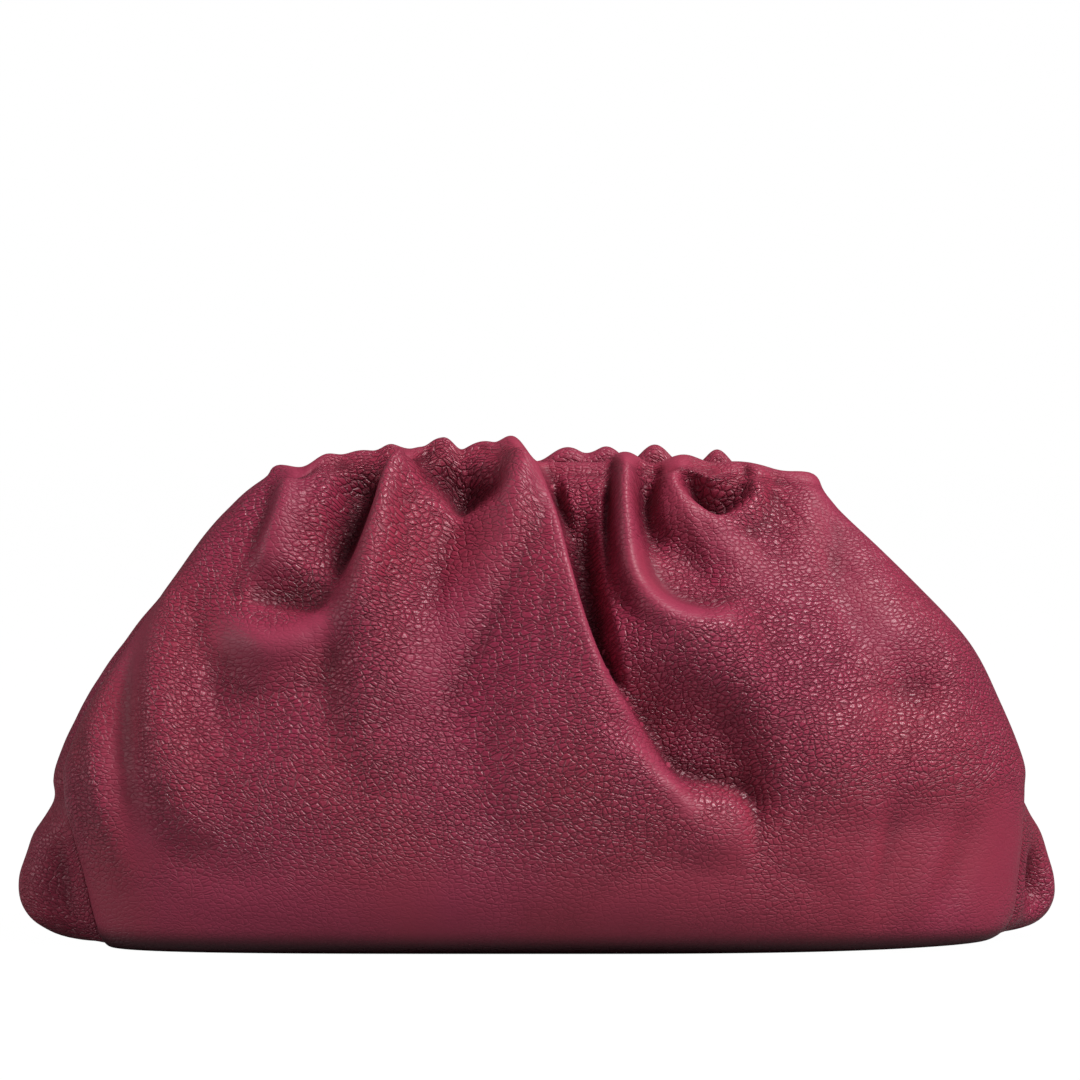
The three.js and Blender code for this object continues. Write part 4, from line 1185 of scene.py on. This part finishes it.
@dataclass
class LeatherPanel:
    """The front or back panel, gathered at the lip and folded.

    The fades are the distances over which the folds, peaks and valleys die out: shares of the bag's height
    at the floor and the lips, and of half the panel's columns at the seams. ripple and crumple are heights
    in metres, and their steps are how often they change in a metre. Painted shade darkens the folds, up to
    valley_shade, where they push the leather in by valley_depths metres. Below tight_left and tight_right of
    the height, at the two ends, it is pulled smooth.
    """

    name: str
    side: Side
    folds: tuple[Fold, ...]
    peaks: tuple[Peak, ...]
    noise_seed: int
    columns: int = 340
    coarse: int = 4
    floor_fade: float = 0.07
    edge_fade: float = 0.09
    peak_fade: float = 0.3
    peak_edge: float = 0.035
    valley_fade: float = 0.03
    lip_slack: float = 0.8
    lip_smooth: float = 0.5
    relax_rounds: int = 5
    valley_shade: float = 0.36
    valley_depths: tuple[float, float] = (0.001, 0.011)
    tight_left: float = 0.17
    tight_right: float = 0.31
    ripple: float = 0.00025
    ripple_steps: tuple[float, float, float] = (150, 20, 28)
    crumple: float = 0.00022
    crumple_steps: tuple[float, float] = (45, 95)

    def shape(self, form: BagForm, view: ViewPoint) -> PanelShape:
        """Works out the panel with its folds.

        Args:
            form: the bag's smooth form.
            view: the place that the folds are drawn from.

        Returns:
            The panel's shape.
        """
        sizes = form.sizes
        grid = form.panel(self.side, self.columns)
        through = grid_normals(grid, self.side.value)
        through[form.row["height"] <= 0] = (0, 0, -1)
        folded = FoldSculptor(sizes, view, self.folds).stand_out(*view.seen(grid))
        in_lip = form.near_lip(form.lip_foot - self.valley_fade * sizes.height)
        held_back = folded.out * (1 - in_lip) - self.lip_slack * sizes.frame_play * in_lip
        out = np.where(folded.out < 0, np.maximum(folded.out, held_back), folded.out)
        column = np.arange(self.columns + 1)
        from_seam = np.minimum(column, self.columns - column)[None, :] / (self.columns / 2)
        above_floor = smooth_step(0, self.floor_fade * sizes.height, grid[..., 2])
        strength = form.row["folds"][:, None] * above_floor * smooth_step(0, self.edge_fade, from_seam)
        out = (out + self.wrinkles(grid, form.row["height"][:, None] / sizes.height)) * strength
        level = np.array([0.0, self.side.value, 0.0])
        push = through + (level - through) * in_lip[..., None]
        points = grid + push * out[..., None]
        points[..., 0] += folded.lean_x * strength
        points[..., 2] += folded.lean_z * strength
        points[..., 2] += self.gathers(form, grid) * smooth_step(0, self.peak_edge, from_seam)
        smooth = folded.smooth + self.lip_smooth * (form.row["place"][:, None] <= form.lip_end)
        return PanelShape(relaxed(points, self.relax_rounds), through, smooth, np.maximum(-out, 0))

    def gathers(self, form: BagForm, grid: np.ndarray) -> np.ndarray:
        """Works out how far the gathers' peaks lift a panel.

        Args:
            form: the bag's smooth form.
            grid: the smooth panel's points.

        Returns:
            One height for each point.
        """
        rise = np.zeros(grid.shape[:2])
        for peak in self.peaks:
            far = np.clip(np.abs(grid[..., 0] / form.sizes.half_width - peak.at) / peak.width, 0, 1)
            rise += peak.rise * form.sizes.height * (1 - far**2) ** 2
        return rise * form.row["peaks"][:, None] * form.near_lip((1 - self.peak_fade) * form.sizes.height)

    def wrinkles(self, grid: np.ndarray, height: np.ndarray) -> np.ndarray:
        """The small unevenness of soft leather: crumples, and ripples that run down from the gathers.

        Args:
            grid: the smooth panel's points.
            height: each row's share of the bag's height.

        Returns:
            How far each point stands out.
        """
        noise = SoftNoise(self.noise_seed)
        fan_out = np.maximum(1.35 - height[..., None], 0.35)
        fanned = np.concatenate([grid[..., :1] / fan_out, grid[..., 1:]], axis=-1)
        strength = 0.25 + 1.4 * smooth_step(0.45, 0.95, height)
        ripple = self.ripple * noise.at(fanned * self.ripple_steps) * strength
        broad, fine = self.crumple_steps
        crumple = self.crumple * (noise.at(grid * broad + 7.3) + 0.5 * noise.at(grid * fine + 3.1))
        return ripple + crumple

    def build(self, form: BagForm, view: ViewPoint) -> bpy.types.Object:
        """Makes the panel.

        Args:
            form: the bag's smooth form.
            view: the place that the folds are drawn from.

        Returns:
            The piece.
        """
        made, sizes = self.shape(form, view), form.sizes
        points = made.points
        piece = leather_wall(self.name, points, made.through, sizes.wall, self.side is Side.BACK, self.coarse)
        outward = grid_normals(points, self.side.value)
        broad, close = relief_of(points, outward, 5), relief_of(points, outward, 2)
        # relief paints highlight on ridges and shade in valleys into the leather's colour.
        set_attribute(piece, "relief", np.clip(0.6 * broad + 0.5 * close, -1, 1))
        # Painted shade: deep fold valleys and the turn under to the base are darkened in the leather's
        # colour.
        in_valley = self.valley_shade * smooth_step(*self.valley_depths, made.pushed_in)
        set_attribute(piece, "shade", np.maximum(base_shade(points, sizes), in_valley))
        to_right = smooth_step(0.15, 0.6, points[..., 0] / sizes.half_width)
        tight = self.tight_left + (self.tight_right - self.tight_left) * to_right
        low = 1 - smooth_step(-0.08, 0.1, points[..., 2] / sizes.height - tight)
        set_attribute(piece, "stretch", np.clip(0.9 * low + made.smooth, -0.5, 1))
        set_attribute(piece, "spread", spread_of(form.panel(self.side, self.columns), self.side.value * 2.0))
        return piece


@dataclass(frozen=True)
class EarDent:
    """The dent in an ear.

    across runs from -1 at the front seam to 1 at the back one, height is a share of the bag's, and depth is
    in metres. The widths are in the same units as across and height.
    """

    across: float
    height: float
    depth: float
    width_across: float
    width_height: float


@dataclass
class LeatherGusset:
    """A folded end panel, whose lower end swells out as an ear."""

    name: str
    end: End
    dent: EarDent
    noise_seed: int
    columns: int = 40
    coarse: int = 4
    crumple: float = 0.0006
    crumple_steps: tuple[float, float] = (60, 140)
    # How strong the painted shade is where the ear turns under to the base.
    shade: float = 0.35
    stretch: float = 0.2

    def swelling(self, form: BagForm, front: np.ndarray, back: np.ndarray) -> tuple[np.ndarray, np.ndarray]:
        """Works out the gusset's smooth form.

        Args:
            form: the bag's smooth form.
            front: the front panel's smooth grid, whose edge it shares.
            back: the back panel's smooth grid.

        Returns:
            Points, by row and column, and how far each is from the seams, from 0 to 1.
        """
        edge = 0 if self.end is End.LEFT else -1
        rows = form.foot_row - form.foot_row % self.coarse + 1
        start, finish = front[:rows, edge], back[:rows, edge]
        across = np.linspace(-1, 1, self.columns + 1)[None, :]
        grid = start[:, None] + (finish - start)[:, None] * ((across + 1) / 2)[..., None]
        end_name = self.end.name.lower()
        bulge, sway = (form.row[end_name + kind][:rows, None] for kind in ("_bulge", "_sway"))
        far_across = (across - self.dent.across) / self.dent.width_across
        far_up = (grid[..., 2] / form.sizes.height - self.dent.height) / self.dent.width_height
        round_off = np.cos(across * math.pi / 2)
        grid[..., 0] += self.end.value * (bulge * round_off + sway * np.sin(across * math.pi))
        pressed = self.dent.depth * np.exp(-far_across**2 - far_up**2) * smooth_step(0, 0.45, round_off)
        return grid - grid_normals(grid, -self.end.value) * pressed[..., None], round_off

    def build(self, form: BagForm, front: np.ndarray, back: np.ndarray) -> bpy.types.Object:
        """Makes the gusset.

        Args:
            form: the bag's smooth form.
            front: the front panel's smooth grid, whose edge it shares.
            back: the back panel's smooth grid.

        Returns:
            The piece.
        """
        sizes = form.sizes
        grid, round_off = self.swelling(form, front, back)
        normals = grid_normals(grid, -self.end.value)
        noise = SoftNoise(self.noise_seed)
        broad, fine = self.crumple_steps
        uneven = self.crumple * (noise.at(grid * broad + 1.7) + 0.6 * noise.at(grid * fine + 5.2))
        calm = round_off * smooth_step(0, 0.05 * sizes.height, grid[..., 2])
        points = grid + normals * (uneven * calm)[..., None]
        piece = leather_wall(self.name, points, normals, sizes.wall, self.end is End.LEFT, self.coarse)
        outward = grid_normals(points, -self.end.value)
        # relief paints highlight on ridges and shade in hollows into the leather's colour.
        set_attribute(piece, "relief", np.clip(0.8 * relief_of(points, outward, 3), -1, 1))
        # Painted shade where the ear turns under to the base.
        set_attribute(piece, "shade", self.shade * base_shade(points, sizes))
        set_attribute(piece, "stretch", np.full(points.shape[:2], self.stretch))
        set_attribute(piece, "spread", spread_of(grid, self.end.value * 4.0))
        return piece


def aim(thing: bpy.types.Object, place: tuple[float, float, float], target: Vector) -> None:
    """Puts a light or the camera at a place and points it at a target."""
    thing.location = place
    thing.rotation_euler = (target - thing.location).to_track_quat("-Z", "Y").to_euler()


@dataclass(frozen=True)
class SoftLight:
    """A square soft light that points at the bag, with its width in metres and its power in watts."""

    name: str
    place: tuple[float, float, float]
    width: float
    power: float


@dataclass
class Studio:
    """The floor, the camera and the soft lights.

    The pixels are the photograph's: its width, the bag's width, and where the base and the middle are.
    """

    sizes: BagSizes
    view: ViewPoint
    sensor: float = 36.0
    frame_pixels: int = 1080
    bag_pixels: int = 1032
    base_pixel: int = 952
    middle_pixel: int = 537
    ambient: float = 0.112
    floor_half: float = 6.0
    floor_grey: float = 0.3
    floor_glow: float = 1.06
    glow_share: float = 0.94
    lights: tuple[SoftLight, ...] = (
        SoftLight("main light", (0.72, -0.57, 1.25), 0.45, 28),
        SoftLight("left light", (-1.4, -0.2, 0.45), 0.5, 6),
        SoftLight("low light", (0.1, -1.6, 0.1), 1.0, 3.6),
    )

    def add_camera(self) -> None:
        """Puts the camera at the photograph's place."""
        scale = self.sizes.width / self.bag_pixels
        data = bpy.data.cameras.new("camera")
        data.sensor_width = self.sensor
        data.lens = self.sensor * self.view.distance / (self.frame_pixels * scale)
        data.clip_start, data.clip_end = 0.05, 30
        across = (self.frame_pixels / 2 - self.middle_pixel) * scale
        up = (self.base_pixel - self.frame_pixels / 2) * scale - self.view.base_drop
        camera = placed("camera", data)
        aim(camera, (across, -self.view.distance, self.view.height), Vector((across, 0, up)))
        bpy.context.scene.camera = camera

    def add_lights(self) -> None:
        """Adds the soft lights, all pointing at the middle of the bag."""
        for light in self.lights:
            data = bpy.data.lights.new(light.name, "AREA")
            data.shape, data.size, data.energy = "SQUARE", light.width, light.power
            aim(placed(light.name, data), light.place, Vector((0, 0, self.sizes.height / 2)))

    def add_floor(self) -> None:
        """Adds a wide floor, grey to the light and nearly white to the camera."""
        far = self.floor_half
        mesh = bpy.data.meshes.new("floor")
        mesh.from_pydata([(-far, -far, 0), (far, -far, 0), (far, far, 0), (-far, far, 0)], [], [(0, 1, 2, 3)])
        material, nodes = empty_material("pale floor")
        matt = nodes.add("ShaderNodeBsdfDiffuse", {"Color": (*[self.floor_grey] * 3, 1)})
        glow = nodes.add("ShaderNodeEmission", {"Color": (1, 1, 1, 1), "Strength": self.floor_glow})
        from_camera = nodes.add("ShaderNodeLightPath").outputs["Is Camera Ray"]
        share = nodes.math("MULTIPLY", from_camera, self.glow_share)
        mixed = nodes.add("ShaderNodeMixShader", {0: share, 1: matt.outputs[0], 2: glow.outputs[0]})
        nodes.add("ShaderNodeOutputMaterial", {"Surface": mixed.outputs[0]})
        mesh.materials.append(material)
        placed("floor", mesh)

    def add_world(self) -> None:
        """Adds a white background that gives the bag only a little light."""
        world = bpy.data.worlds.new("studio")
        world.use_nodes = True
        nodes = NodeTree(world.node_tree)
        background = world.node_tree.nodes["Background"]
        background.inputs[0].default_value = (1, 1, 1, 1)
        seen = nodes.add("ShaderNodeLightPath").outputs["Is Camera Ray"]
        strength = nodes.math("MULTIPLY_ADD", seen, 1.0 - self.ambient, self.ambient)
        world.node_tree.links.new(strength, background.inputs[1])
        bpy.context.scene.world = world

    def build(self) -> None:
        """Sets up the floor, the background, the lights and the camera."""
        self.add_floor()
        self.add_world()
        self.add_lights()
        self.add_camera()
        bpy.context.scene.view_settings.view_transform = "Standard"


@dataclass
class PouchBag:
    """The whole bag: two panels, two gussets and the frame in the lips."""

    sizes: BagSizes
    view: ViewPoint

    def build(self) -> None:
        """Makes each piece, dresses it and says what it stands for."""
        form = BagForm(self.sizes)
        leather = LeatherFinish().build(pebble_group(), mottle_group())
        panels = (
            LeatherPanel("front_leather", Side.FRONT, FRONT_FOLDS, FRONT_PEAKS, 11),
            LeatherPanel("back_leather", Side.BACK, BACK_FOLDS, BACK_PEAKS, 23),
        )
        for panel, node in zip(panels, ("front_panel", "back_panel")):
            self.finish_piece(panel.build(form, self.view), leather, node)
        front = form.panel(Side.FRONT, panels[0].columns)
        back = form.panel(Side.BACK, panels[1].columns)
        gussets = (
            LeatherGusset("left_gusset_leather", End.LEFT, EarDent(-0.82, 0.13, 0.0035, 0.2, 0.08), 31),
            LeatherGusset("right_gusset_leather", End.RIGHT, EarDent(-0.55, 0.115, 0.009, 0.22, 0.06), 37),
        )
        for gusset, node in zip(gussets, ("left_gusset", "right_gusset")):
            self.finish_piece(gusset.build(form, front, back), leather, node)
        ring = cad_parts["mouth_frame"]
        ring.data.materials.clear()
        ring.data.materials.append(SteelFinish().build())
        log.info("mouth_frame keeps its solid and gets its finish")

    def finish_piece(self, piece: bpy.types.Object, material: bpy.types.Material, node: str) -> None:
        """Gives a piece its material, its body and the node that it stands for.

        Args:
            piece: the piece.
            material: its finish.
            node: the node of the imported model.
        """
        piece.data.materials.append(material)
        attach(piece, BODY)
        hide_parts(node)
        log.info("%s: %d faces, stands for %s", piece.name, len(piece.data.polygons), node)


def main() -> None:
    """Builds the bag and its studio."""
    logging.basicConfig(level=logging.INFO, format="%(name)s: %(message)s")
    sizes = BagSizes()
    view = ViewPoint()
    Studio(sizes, view).build()
    PouchBag(sizes, view).build()


if __name__ == "__main__":
    main()
